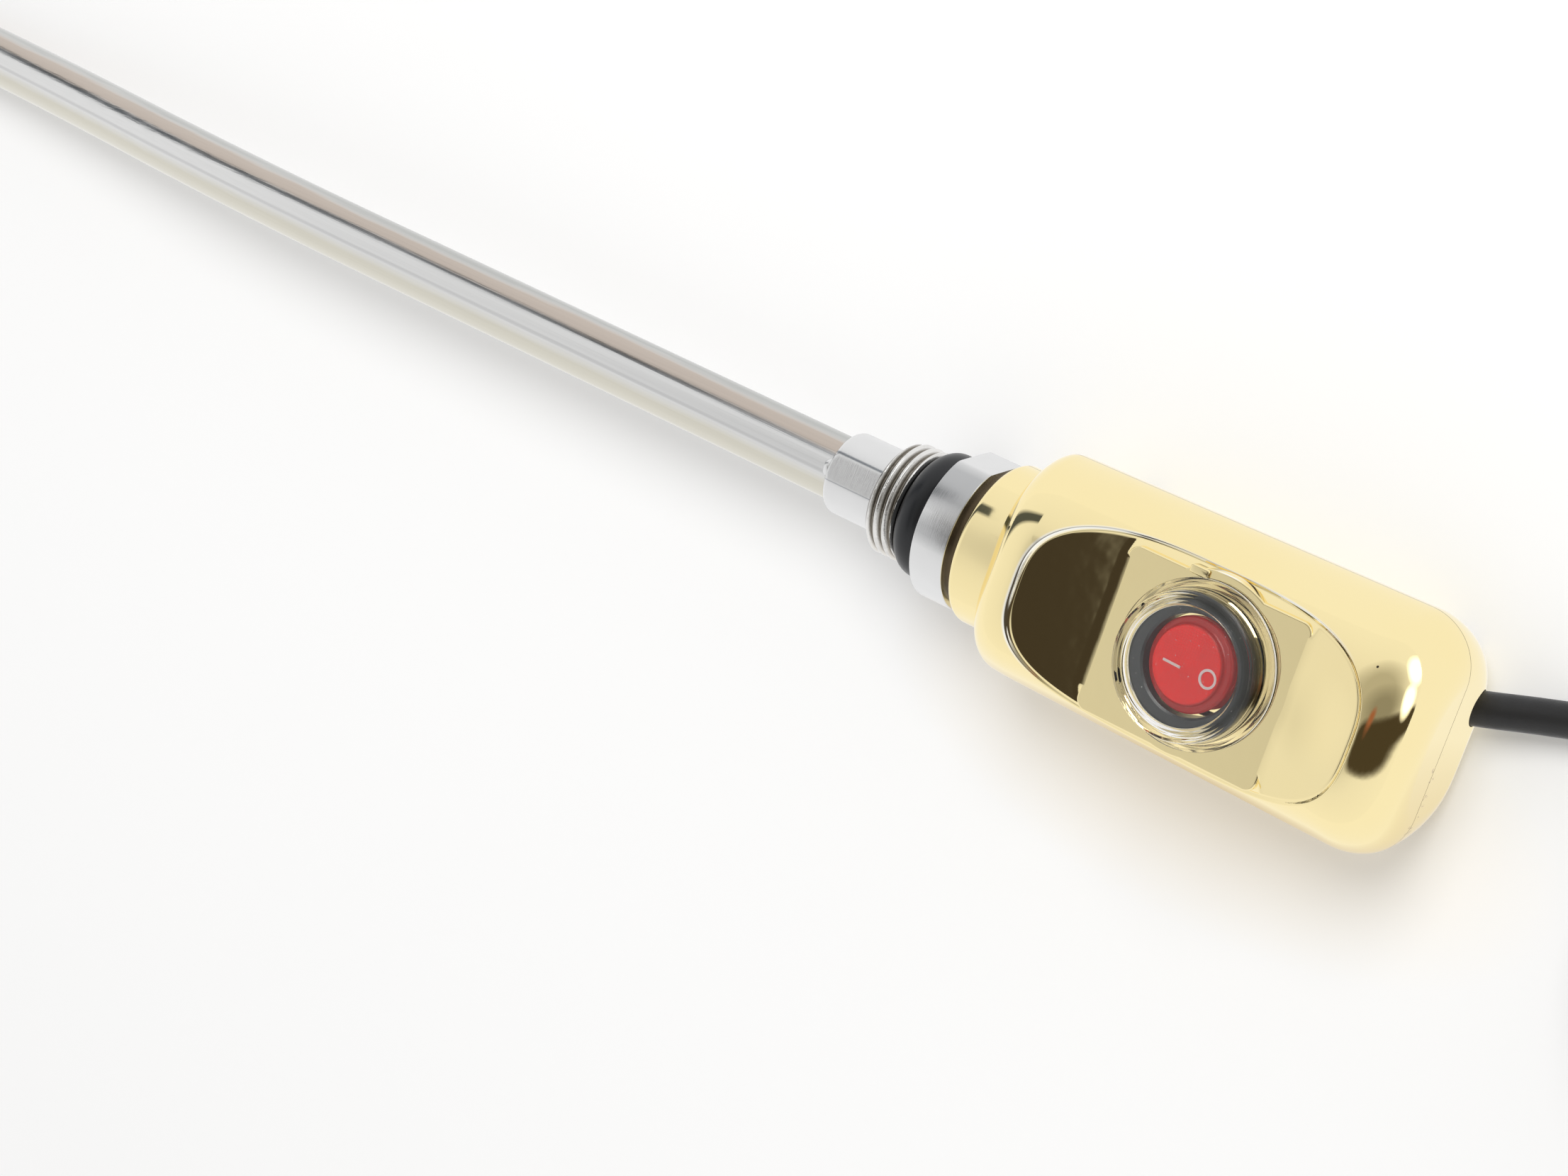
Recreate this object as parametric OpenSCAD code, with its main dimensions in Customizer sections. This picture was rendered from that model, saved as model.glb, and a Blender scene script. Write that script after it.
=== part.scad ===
// Immersion heater with a screw-in rod, a moulded switch housing and a mains lead.
// Millimetres. The origin is the centre of the collar's sealing face, on the thread's axis.
// +X runs from the rod towards the lead, +Z is the switch side, and the housing lies on its back.

/* [Heating rod] */
// Outside diameter of the rod
rod_d = 12; // [8:0.5:14]
// Length of the rod from the sealing face to its tip
rod_length = 320; // [260:5:600]
// Wall of the rod's sheath
sheath_wall = 0.8; // [0.5:0.1:1.2]
// Length along X of the slow double bend that lets the tip lie on the surface
bend_run = 160; // [80:5:170]
// Straight length behind the rod's round tip
tip_run = 20; // [15:1:40]
// Unheated length next to the plug
cold_length = 55; // [40:1:80]
// Diameter of the ceramic core under the winding
core_d = 5.6; // [4.5:0.1:6]
// Radial thickness of the wound wire
winding_t = 0.6; // [0.3:0.1:1]
// Diameter of the terminal pins
pin_d = 2; // [1.2:0.1:2.4]
// Distance between the terminal pins
pin_pitch = 4.4; // [3:0.1:5]
// Length of the terminal pins beyond the plug
pin_reach = 6; // [3:0.5:9]

/* [Threaded plug] */
// Major diameter of the half-inch pipe thread
thread_d = 20.955; // [20:0.005:26.5]
// Length of the thread
thread_length = 6.2; // [5:0.1:16]
// Width of the relief between the thread and the collar, which the seal ring fills
relief_w = 6.4; // [6:0.1:7]
// Diameter of the seal ring's section before the thread flattens its side
ring_section = 6.5; // [5.8:0.1:6.8]
// Inside diameter of the seal ring
ring_bore = 17; // [16:0.1:17.4]
// Depth of the seal ring's seat in the collar's face
ring_seat = 0.15; // [0.1:0.05:0.2]
// Diameter of the collar
collar_d = 27.6; // [27:0.2:32]
// Thickness of the collar
collar_t = 6.8; // [5:0.1:9]
// Distance across the collar's wrench flats
collar_flats = 25.6; // [25:0.1:27]
// Diameter of the boss that holds the rod
boss_d = 15.4; // [14:0.1:19]
// Length of the boss
boss_length = 11.6; // [6:0.1:20]
// Distance across the boss's two flats
boss_flats = 14.6; // [13.5:0.1:15.4]
// Turn of the boss's flats about the thread's axis
boss_turn = 12; // [0:1:90]
// Diameter of the spigot that the housing clamps
spigot_d = 25.2; // [24:0.1:26]
// Length of the spigot in front of its groove
spigot_length = 5.2; // [4:0.1:7]
// Width of the spigot's groove
groove_w = 3; // [2:0.1:4]
// Diameter at the bottom of the spigot's groove
groove_d = 19; // [18:0.1:21]
// Thickness of the flange behind the groove
flange_t = 3; // [2:0.1:5]
// Diameter of the potting cup in the plug's inner end
cup_d = 15.6; // [14:0.1:16]
// Depth of the potting cup
cup_depth = 12; // [8:0.5:13]

/* [Housing] */
// Gap between the collar and the housing's neck
neck_gap = 1.83; // [1:0.01:3]
// Diameter of the neck
neck_d = 29.56; // [29:0.02:30]
// Length of the neck in front of the body
neck_length = 5.87; // [5:0.01:9]
// Length of the body
body_length = 80.5; // [79:0.5:100]
// Width of the body at its neck end
body_w_neck = 40.2; // [38:0.1:46]
// Width of the body at its lead end
body_w_lead = 42.7; // [40:0.1:50]
// Height of the switch shell's crown above the parting line
crown_h = 18.6; // [18:0.1:22]
// Depth of the back shell's flat below the parting line
seat_depth = 15; // [14.9:0.1:18]
// Wall of both shells
shell_wall = 2; // [1.6:0.1:2.4]
// Corner radius of the outline at the neck end
corner_neck = 4; // [3:0.1:6]
// Corner radius of the outline at the lead end
corner_lead = 10; // [6:0.1:12]
// Radius from the crown down to the neck end
roll_neck = 9; // [6:0.1:9.4]
// Radius from the crown down to the lead end
roll_lead = 12; // [8:0.1:12.5]
// Radius from the back down to either end
roll_back = 5; // [3:0.1:6]

/* [Switch recess] */
// Distance from the body's neck end to the switch's centre
switch_offset = 42.7; // [41:0.1:44]
// Height of the switch's pad above the parting line
pad_h = 15.3; // [15:0.1:16]
// Length of the pad
pad_length = 34.25; // [32:0.05:36]
// Width of the pad
pad_w = 27.7; // [26:0.1:29]
// Distance from the switch's centre back to the middle of the pad
pad_shift = 0.6; // [0:0.1:2]
// Length of the oval recess
oval_length = 63; // [60:0.5:65]
// Width of the oval recess
oval_w = 31; // [30:0.1:33]
// Distance from the switch's centre back to the middle of the oval
oval_shift = 2.1; // [0:0.1:3]
// Depth of the recess under the housing's skin
recess_depth = 0.8; // [0.5:0.1:1.2]
// Diameter of the round boss on the pad
pad_boss_d = 31.2; // [29:0.1:32]

/* [Switch] */
// Diameter of the switch's body
switch_d = 19.8; // [18:0.1:20]
// Clearance round the switch's body in its hole
switch_gap = 0.2; // [0.1:0.05:0.3]
// Depth of the switch's body below the pad
switch_depth = 12.5; // [11:0.1:14]
// Diameter of the bezel
bezel_d = 22.6; // [22:0.1:23]
// Thickness of the bezel
bezel_t = 1.4; // [1:0.1:2]
// Diameter of the bezel's opening
opening_d = 17; // [16.6:0.1:17.4]
// Diameter of the rocker
rocker_d = 16; // [15:0.1:16.2]
// Diameter of the rocker's raised face
face_d = 13.4; // [12:0.1:14]
// Height of the rocker's raised face above the pad
face_h = 2.6; // [2:0.1:3]
// Tilt of the rocker to either side of level
rocker_tilt = 7; // [4:0.5:8]
// Diameter of the rocker's trunnions
trunnion_d = 2; // [1.6:0.1:2.4]
// Radial clearance of the trunnions
trunnion_gap = 0.05; // [0.02:0.01:0.1]

/* [Waterproof cap] */
// Diameter of the cap's foot
cap_d = 28.2; // [27:0.1:29]
// Height of the cap above the pad
cap_h = 6.3; // [6:0.1:8]
// Diameter of the cap's crown
cap_crown_d = 24; // [23.9:0.1:25]
// Thickness of the cap's walls
cap_wall = 0.8; // [0.6:0.1:0.8]
// Thickness of the cap's lip under the bezel
lip_t = 0.6; // [0.4:0.1:0.8]

/* [Screws] */
// Diameter of the housing screws
screw_d = 3; // [2.5:0.1:3.2]
// Diameter of their heads
screw_head_d = 5.4; // [5:0.1:5.6]
// Distance from the body's neck end to the front pair
screw_front = 12.5; // [12:0.1:14]
// Distance from the body's lead end to the back pair
screw_back = 8; // [7:0.1:10]
// Distance between the two screws of the front pair
screw_pitch_front = 28; // [27:0.1:29]
// Distance between the two screws of the back pair
screw_pitch_back = 30; // [28:0.1:31]

/* [Lead] */
// Diameter of the mains lead
cord_d = 6; // [5:0.1:6.4]
// Distance off the middle where the lead leaves the housing
exit_y = 7.1; // [5:0.1:8]
// Depth of the lead below the parting line where it leaves the housing
exit_depth = 9.8; // [9:0.1:10.4]
// Turn of the lead away from the housing's axis
exit_turn = 16.3; // [0:0.1:20]
// Clearance round the lead in the housing's end
cord_gap = 0.15; // [0.1:0.05:0.4]
// Diameter of the insulated cores inside the housing
core_lead_d = 2; // [1.6:0.1:2.2]
// Distance of the cores' lanes off the middle of the housing
core_lane = 7.2; // [6.5:0.1:8]
// Straight length of the hank's runs
hank_run = 62; // [56:1:70]
// Radius of the hank's inner folds
hank_r = 19.5; // [19.5:0.5:24]
// Distance between neighbouring loops of the hank
coil_pitch = 6.5; // [6.5:0.1:7.5]
// Thickness of the strap round the hank
tie_t = 1; // [0.8:0.1:1.6]

/* [Mains plug] */
// Diameter of the plug's body
plug_d = 37; // [36:0.5:38]
// Length of the plug's body without its boot
plug_length = 22; // [20:0.5:28]
// Length of the plug's boot
boot_length = 24; // [18:0.5:30]
// Diameter of the plug's pins
plug_pin_d = 4.8; // [4:0.1:4.8]
// Distance between the plug's pins
plug_pin_pitch = 19; // [18:0.5:20]
// Length of the plug's pins
plug_pin_length = 19; // [18:0.5:20]
// Turn of the plug's axis away from the hank's runs
plug_turn = 25; // [20:1:28]

/* [Hidden] */
$fn = 64;

// Stations along X
thread_x1 = -relief_w;
thread_x0 = thread_x1 - thread_length;
boss_x0 = thread_x0 - boss_length;
groove_x0 = collar_t + spigot_length;
groove_x1 = groove_x0 + groove_w;
plug_end = groove_x1 + flange_t;
neck_x0 = collar_t + neck_gap;
body_x0 = neck_x0 + neck_length;
body_x1 = body_x0 + body_length;
switch_x = body_x0 + switch_offset;
pad_x = switch_x - pad_shift;
oval_x = switch_x - oval_shift;

// Rod
rod_r = rod_d / 2;
rod_drop = seat_depth - rod_r;
bend_x0 = -(rod_length - tip_run - bend_run);
bend_r = (pow(bend_run / 2, 2) + pow(rod_drop / 2, 2)) / rod_drop;
bend_a = 2 * atan(rod_drop / bend_run);
joint_a = 0.02;
joint_step = 0.05;
sheath_end = plug_end - cup_depth;
fill_r = rod_r - sheath_wall;
wire_r = core_d / 2 + winding_t;

// Shell lofts
ring_n = 26;
roll_n = 6;

function drop_in(d, r) = r - sqrt(max(0, r * r - d * d));
function end_drop(u, r0, r1, t) =
    (u < r0 ? drop_in(r0 - u, r0 - t) : 0)
    + (u > body_length - r1 ? drop_in(u - (body_length - r1), r1 - t) : 0);
// Half width, crown and belly at a distance u from the body's neck end, drawn in by t
function half_w(u, t) =
    body_w_neck / 2 + (body_w_lead - body_w_neck) / 2 * u / body_length - t
    - end_drop(u, corner_neck, corner_lead, t);
function crown(u, t) = crown_h - t - end_drop(u, roll_neck, roll_lead, t);
belly_h = seat_depth + 0.4;
function belly(u, t) = belly_h - t - end_drop(u, roll_back, roll_back, t);
// Height of the recess's ramps and of the pad between them
ramp_x0 = oval_x - oval_length / 2;
ramp_x1 = oval_x + oval_length / 2;
pad_x0 = pad_x - pad_length / 2;
pad_x1 = pad_x + pad_length / 2;
function ramp(x) =
    x < pad_x0 ? pad_h + (crown_h - recess_depth - pad_h) * min(1, (pad_x0 - x) / (pad_x0 - ramp_x0))
    : x > pad_x1 ? pad_h + (crown_h - recess_depth - pad_h) * min(1, (x - pad_x1) / (ramp_x1 - pad_x1))
    : pad_h;
function bend_pow(v, p) = sign(v) * pow(abs(v), p);
// Stations that crowd towards both ends, with one at either end of the pad
pad_u0 = pad_x0 - body_x0;
pad_u1 = pad_x1 - body_x0;
function stations(t, r0, r1) = concat(
    [for (i = [0:roll_n]) t + (r0 - t) * (1 - cos(90 * i / roll_n))],
    [(r0 + pad_u0) / 2, pad_u0, (pad_u0 + pad_u1) / 2, pad_u1, (pad_u1 + body_length - r1) / 2],
    [for (i = [roll_n:-1:0]) body_length - t - (r1 - t) * (1 - cos(90 * i / roll_n))]
);
function front_ring(u, t, top) = [
    for (i = [0:ring_n]) let (a = 180 * i / ring_n)
        [half_w(u, t) * bend_pow(cos(a), 2 / 3), min(top, crown(u, t) * pow(sin(a), 4 / 3))]
];
function back_ring(u, t) = [
    for (i = [0:ring_n]) let (a = 180 - 180 * i / ring_n)
        [
            half_w(u, t) * bend_pow(cos(a), 2 / 5),
            max(-(seat_depth - t), -belly(u, t) * pow(sin(a), 5 / 4))
        ]
];

// A closed solid through rings of [y, z] points, one ring to each x
module loft(xs, rings) {
    n = len(rings[0]);
    m = len(xs);
    pts = [for (j = [0:m - 1]) for (p = rings[j]) [xs[j], p[0], p[1]]];
    side = [
        for (j = [0:m - 2]) for (i = [0:n - 1]) let (a = j * n + i, b = j * n + (i + 1) % n)
            for (f = [[a, a + n, b + n], [a, b + n, b]]) f
    ];
    ends = [[for (i = [0:n - 1]) i], [for (i = [n - 1:-1:0]) (m - 1) * n + i]];
    polyhedron(points = pts, faces = concat(side, ends), convexity = 6);
}

// The switch shell's half of the body, drawn in by t and kept below the ramps less low
module front_loft(t, follow, low) {
    us = stations(t, roll_neck, roll_lead);
    loft(
        [for (u = us) body_x0 + u],
        [for (u = us) front_ring(u, t, follow ? ramp(body_x0 + u) - low : 2 * crown_h)]
    );
}

// The back shell's half, drawn in by t
module back_loft(t) {
    us = stations(t, roll_back, corner_lead);
    loft([for (u = us) body_x0 + u], [for (u = us) back_ring(u, t)]);
}

// A profile of [radius, x] points turned about the thread's axis
module turned(pts, a0, a1) {
    rotate([0, 90, 0])
        rotate_extrude(angle = a1 - a0, start = a0) polygon(pts);
}

// A profile of [radius, z] points turned about the switch's axis
module switch_turned(pts) {
    translate([switch_x, 0, 0])
        rotate_extrude() polygon(pts);
}

module rod_y(r, length, x, y, z) {
    translate([x, y, z])
        rotate([90, 0, 0])
            cylinder(r = r, h = length, center = true);
}

module rod_x(r, x0, x1, y, z) {
    translate([x0, y, z])
        rotate([0, 90, 0])
            cylinder(r = r, h = x1 - x0);
}

// The rod's path from x1 down to tip, straight, then bent down and back, then straight.
// A short core joins the two bends where they turn over.
module rod_path(r, x1, tip) {
    rod_x(r, bend_x0, x1, 0, 0);
    translate([bend_x0, 0, -bend_r])
        rotate([90, 0, 0])
            rotate_extrude(angle = bend_a - joint_a, start = 90)
                translate([bend_r, 0]) circle(r = r);
    translate([bend_x0 - bend_run, 0, bend_r - rod_drop])
        rotate([90, 0, 0])
            rotate_extrude(angle = bend_a - joint_a, start = -90)
                translate([bend_r, 0]) circle(r = r);
    translate([bend_x0 - bend_run / 2, 0, -rod_drop / 2])
        rotate([0, 90 - bend_a, 0])
            cylinder(r = r - joint_step, h = 4, center = true);
    rod_x(r, tip, bend_x0 - bend_run, 0, -rod_drop);
}

module rod_sheath() {
    color("silver")
        difference() {
            union() {
                rod_path(rod_r, sheath_end, -rod_length + rod_r);
                translate([-rod_length + rod_r, 0, -rod_drop])
                    rotate([0, -90, 0])
                        rotate_extrude()
                            intersection() {
                                circle(r = rod_r);
                                square(rod_r);
                            }
            }
            rod_path(fill_r, sheath_end + 1, -rod_length + rod_r);
        }
}

heat_x0 = -rod_length + rod_r + 4;

module magnesia_fill() {
    color("whitesmoke")
        difference() {
            rod_path(fill_r, sheath_end, -rod_length + rod_r);
            rod_path(wire_r, -cold_length, heat_x0);
            for (s = [-1, 1])
                rod_x(pin_d / 2, -cold_length - 1, sheath_end + 1, s * pin_pitch / 2, 0);
        }
}

module resistance_winding() {
    color("dimgray")
        difference() {
            rod_path(wire_r, -cold_length, heat_x0);
            rod_path(core_d / 2, -cold_length + 1, heat_x0 - 1);
        }
}

module winding_core() {
    color("ivory")
        rod_path(core_d / 2, -cold_length, heat_x0);
}

module terminal_pins() {
    color("lightsteelblue")
        for (s = [-1, 1])
            rod_x(pin_d / 2, -cold_length, plug_end + pin_reach, s * pin_pitch / 2, 0);
}

seal_end = plug_end - 1.5;

module end_seal() {
    color("darkorange")
        difference() {
            rod_x(cup_d / 2, sheath_end, seal_end, 0, 0);
            for (s = [-1, 1])
                rod_x(pin_d / 2, sheath_end - 1, seal_end + 1, s * pin_pitch / 2, 0);
        }
}

collar_chamfer = 0.3;
thread_chamfer = 0.9;
thread_runout = 0.45;
boss_fillet = 1.2;
earth_z = -(cup_d / 2 + spigot_d / 2) / 2;
earth_d = 2.5;
// The seal ring grips the relief and stands clear of its seat's edge
ring_gap = 0.05;
ring_mid_r = ring_bore / 2 - ring_gap;
seat_r = ring_mid_r + ring_section / 2 + 0.7;

module threaded_plug() {
    profile = concat(
        [[rod_r, boss_x0]],
        [
            for (i = [0:5]) let (a = 90 * i / 5)
                [boss_d / 2 - boss_fillet * (1 - sin(a)), boss_x0 + boss_fillet * (1 - cos(a))]
        ],
        [
            [boss_d / 2, thread_x0],
            [thread_d / 2 - thread_chamfer, thread_x0],
            [thread_d / 2, thread_x0 + thread_chamfer],
            [thread_d / 2, thread_x1 - thread_runout],
            [ring_bore / 2, thread_x1],
            [ring_bore / 2, ring_seat],
            [seat_r, ring_seat],
            [seat_r, 0],
            [collar_d / 2 - collar_chamfer, 0],
            [collar_d / 2, collar_chamfer],
            [collar_d / 2, collar_t - collar_chamfer],
            [collar_d / 2 - collar_chamfer, collar_t],
            [spigot_d / 2, collar_t],
            [spigot_d / 2, groove_x0],
            [groove_d / 2, groove_x0],
            [groove_d / 2, groove_x1],
            [spigot_d / 2, groove_x1],
            [spigot_d / 2, plug_end],
            [cup_d / 2, plug_end],
            [cup_d / 2, sheath_end],
            [rod_r, sheath_end]
        ]
    );
    color("gainsboro")
        difference() {
            rotate([90, 0, 0])
                turned(profile, 0, 360);
            // Wrench flats on the collar
            for (s = [-1, 1])
                translate([-1, s > 0 ? collar_flats / 2 : -collar_flats / 2 - collar_d, -collar_d])
                    cube([collar_t + 1, collar_d, 2 * collar_d]);
            // Flats on the boss
            for (k = [0, 180])
                rotate([k - boss_turn, 0, 0])
                    translate([boss_x0 - 1, -boss_d, boss_flats / 2])
                        cube([boss_length + 1, 2 * boss_d, boss_d]);
            // Tapped hole of the earth screw
            rod_x(earth_d / 2, plug_end - 2.5, plug_end + 1, 0, earth_z);
        }
}

module o_ring() {
    color("black")
        rotate([0, 90, 0])
            rotate_extrude()
                intersection() {
                    translate([ring_mid_r, -ring_section / 2 - ring_gap])
                        circle(d = ring_section);
                    translate([ring_bore / 2, thread_x1 + ring_gap])
                        square([ring_section, relief_w]);
                }
}

// Oval of the recess, drawn with a power between an ellipse and a rectangle
oval_power = 3.07;
module oval(grow) {
    polygon([
        for (i = [0:71]) let (a = 5 * i)
            [
                oval_x + (oval_length / 2 + grow) * bend_pow(cos(a), 2 / oval_power),
                (oval_w / 2 + grow) * bend_pow(sin(a), 2 / oval_power)
            ]
    ]);
}

// Points of a rectangle with round corners, centred on the origin
function round_rect(w, h, r, n) = [
    for (k = [0:3]) for (i = [0:n]) let (a = 90 * k + 90 * i / n)
        [
            (k == 0 || k == 3 ? 1 : -1) * (w / 2 - r) + r * cos(a),
            (k < 2 ? 1 : -1) * (h / 2 - r) + r * sin(a)
        ]
];

// Neck and the inside that grips the spigot, shared by both shells
neck_round = 1.2;
grip_gap = 0.05;
neck_end = plug_end;
module neck_half(a0) {
    turned(
        concat(
            [[0, neck_x0]],
            [
                for (i = [0:5]) let (a = 90 * i / 5)
                    [neck_d / 2 - neck_round * (1 - sin(a)), neck_x0 + neck_round * (1 - cos(a))]
            ],
            [[neck_d / 2, neck_end], [0, neck_end]]
        ),
        a0, a0 + 180
    );
}
module neck_bore() {
    turned(
        [
            [0, neck_x0 - 1],
            [spigot_d / 2 + grip_gap, neck_x0 - 1],
            [spigot_d / 2 + grip_gap, groove_x0 + grip_gap],
            [groove_d / 2 + grip_gap, groove_x0 + grip_gap],
            [groove_d / 2 + grip_gap, groove_x1 - grip_gap],
            [spigot_d / 2 + grip_gap, groove_x1 - grip_gap],
            [spigot_d / 2 + grip_gap, neck_end + 1],
            [0, neck_end + 1]
        ],
        0, 360
    );
}

screw_spots = [
    for (s = [-1, 1]) each [
        [body_x0 + screw_front, s * screw_pitch_front / 2],
        [body_x1 - screw_back, s * screw_pitch_back / 2]
    ]
];
post_r = screw_d / 2 + 1.6;
head_seat = seat_depth - 4.2;
screw_tip = 7;

module front_shell() {
    color("goldenrod")
        difference() {
            union() {
                difference() {
                    front_loft(0, false, 0);
                    // Scooped recess under the oval rim
                    difference() {
                        translate([0, 0, 1])
                            linear_extrude(height = 2 * crown_h)
                                oval(0);
                        front_loft(recess_depth, true, 0);
                    }
                    // Hollow, with the posts left standing
                    difference() {
                        front_loft(shell_wall, true, shell_wall);
                        for (p = screw_spots)
                            translate([p[0], p[1], -1])
                                cylinder(r = post_r, h = crown_h + 2);
                    }
                }
                neck_half(90);
                // Pad and round boss that carry the switch
                translate([pad_x, 0, pad_h - shell_wall])
                    linear_extrude(height = shell_wall)
                        polygon(round_rect(pad_length, pad_w, 2, 5));
                translate([switch_x, 0, pad_h - shell_wall])
                    cylinder(d = pad_boss_d, h = shell_wall);
            }
            neck_bore();
            translate([switch_x, 0, pad_h - 2 * shell_wall])
                cylinder(r = switch_d / 2 + switch_gap, h = 3 * shell_wall);
            for (p = screw_spots)
                translate([p[0], p[1], -1])
                    cylinder(r = screw_d / 2, h = screw_tip + 2);
        }
}

// Frame of the lead's exit: +X outwards along the lead
module at_exit() {
    translate([body_x1, exit_y, -exit_depth])
        rotate([0, 0, exit_turn])
            children();
}

clamp_x = -15;
clamp_l = 6;
clamp_screw_y = cord_d / 2 + 2.6;
grommet_x = -6;
grommet_t = 3;
grommet_wall = 1;
cutout_x = body_x0 + 15.5;
cutout_l = 18;
cutout_z = -10;
cutout_h = 3.8;
cutout_w = 8;

module rear_shell() {
    color("darkgoldenrod")
        difference() {
            union() {
                difference() {
                    back_loft(0);
                    difference() {
                        back_loft(shell_wall);
                        for (p = screw_spots)
                            translate([p[0], p[1], -2 * seat_depth])
                                cylinder(r = post_r, h = 3 * seat_depth);
                        // Cradle and screw posts of the cord clamp
                        at_exit() {
                            for (s = [-1, 1])
                                translate([clamp_x + clamp_l / 2, s * clamp_screw_y, -seat_depth])
                                    cylinder(r = 2.4, h = seat_depth);
                            translate([grommet_x - 1.2, -6, -seat_depth])
                                cube([grommet_t + 2.4, 12, seat_depth]);
                        }
                        // Shelf of the thermal cut-out
                        translate([cutout_x + 3, -cutout_w / 2, -2 * seat_depth])
                            cube([cutout_l - 6, cutout_w, 2 * seat_depth + cutout_z]);
                    }
                }
                neck_half(-90);
            }
            neck_bore();
            for (p = screw_spots) {
                translate([p[0], p[1], -2 * seat_depth])
                    cylinder(r = screw_d / 2 + 0.1, h = 3 * seat_depth);
                translate([p[0], p[1], -2 * seat_depth])
                    cylinder(r = screw_head_d / 2 + 0.15, h = 2 * seat_depth - head_seat);
            }
            at_exit() {
                rotate([0, 90, 0])
                    cylinder(r = cord_d / 2 + cord_gap, h = 60, center = true);
                translate([grommet_x, 0, 0])
                    rotate([0, 90, 0])
                        cylinder(r = cord_d / 2 + grommet_wall, h = grommet_t);
                for (s = [-1, 1])
                    translate([clamp_x + clamp_l / 2, s * clamp_screw_y, -2.4])
                        cylinder(d = 2.2, h = seat_depth);
                translate([grommet_x - 1.2, -cord_d / 2 - grommet_wall, 0])
                    cube([grommet_t + 2.4, cord_d + 2 * grommet_wall, seat_depth]);
            }
        }
}

module shell_screws() {
    color("silver")
        for (p = screw_spots)
            translate([p[0], p[1], 0])
                difference() {
                    union() {
                        translate([0, 0, -head_seat - 2])
                            cylinder(d = screw_head_d, h = 2);
                        translate([0, 0, -head_seat])
                            cylinder(d = screw_d, h = head_seat + screw_tip);
                    }
                    translate([0, 0, -head_seat - 3])
                        for (k = [0, 90])
                            rotate([0, 0, k])
                                translate([-1.5, -0.3, 0])
                                    cube([3, 0.6, 2.2]);
                }
}

opening_r = opening_d / 2;
axis_h = pad_h - 1.2;
body_bottom = pad_h - switch_depth;
body_floor = 1.2;
blade_t = 0.8;
blade_w = 4.8;
blade_pitch = 5.5;
blade_reach = 8;

module blades() {
    for (k = [-1, 0, 1])
        translate([
            switch_x + k * blade_pitch - blade_t / 2, -blade_w / 2, body_bottom - blade_reach
        ])
            cube([blade_t, blade_w, blade_reach + body_floor + 1]);
}

lamp_d = 3.4;
lamp_x = switch_x + 2.75;
lamp_z = body_bottom + body_floor + 2.2 + lamp_d / 2;
lamp_l = 11;

module switch_body() {
    color([0.2, 0.21, 0.22])
        difference() {
            union() {
                switch_turned([
                    [0, body_bottom],
                    [switch_d / 2, body_bottom],
                    [switch_d / 2, pad_h + lip_t],
                    [bezel_d / 2, pad_h + lip_t],
                    [bezel_d / 2, pad_h + lip_t + bezel_t - 0.4],
                    [bezel_d / 2 - 0.4, pad_h + lip_t + bezel_t],
                    [opening_r, pad_h + lip_t + bezel_t],
                    [opening_r, body_bottom + body_floor],
                    [0, body_bottom + body_floor]
                ]);
                // Snap-in catches below the pad
                for (s = [-1, 1])
                    translate([switch_x, s * switch_d / 2, pad_h - shell_wall])
                        rotate([0, 90, 0])
                            linear_extrude(height = 5, center = true)
                                polygon([[0, -s * 0.5], [0, s * 0.9], [4, s * 0.1], [4, -s * 0.5]]);
                // Cradles of the lamp
                for (s = [-1, 1])
                    translate([lamp_x - 1.2, s * 3.5 - 0.6, body_bottom + body_floor - 0.1])
                        cube([2.4, 1.2, 2.5]);
            }
            rod_y(trunnion_d / 2 + trunnion_gap, 2 * switch_d, switch_x, 0, axis_h);
            blades();
            rod_y(lamp_d / 2, lamp_l, lamp_x, 0, lamp_z);
        }
}

ring_top = face_h - 1;

module rocker() {
    color("crimson")
        translate([switch_x, 0, axis_h])
            rotate([0, -rocker_tilt, 0])
                union() {
                    rotate_extrude()
                        polygon([
                            [0, -3],
                            [5.4, -3],
                            [6, -2.4],
                            [6, pad_h + ring_top - 1.2 - axis_h],
                            [rocker_d / 2, pad_h + ring_top - 1.2 - axis_h],
                            [rocker_d / 2, pad_h + ring_top - 0.3 - axis_h],
                            [rocker_d / 2 - 0.3, pad_h + ring_top - axis_h],
                            [face_d / 2 + 0.2, pad_h + ring_top - axis_h],
                            [face_d / 2, pad_h + face_h - 0.3 - axis_h],
                            [face_d / 2 - 0.3, pad_h + face_h - axis_h],
                            [0, pad_h + face_h - axis_h]
                        ]);
                    rod_y(trunnion_d / 2, switch_d - 0.4, 0, 0, 0);
                }
}

module indicator_lamp() {
    color("orange")
        rod_y(lamp_d / 2, lamp_l, lamp_x, 0, lamp_z);
}

module switch_terminals() {
    color("lightgray")
        blades();
}

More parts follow.
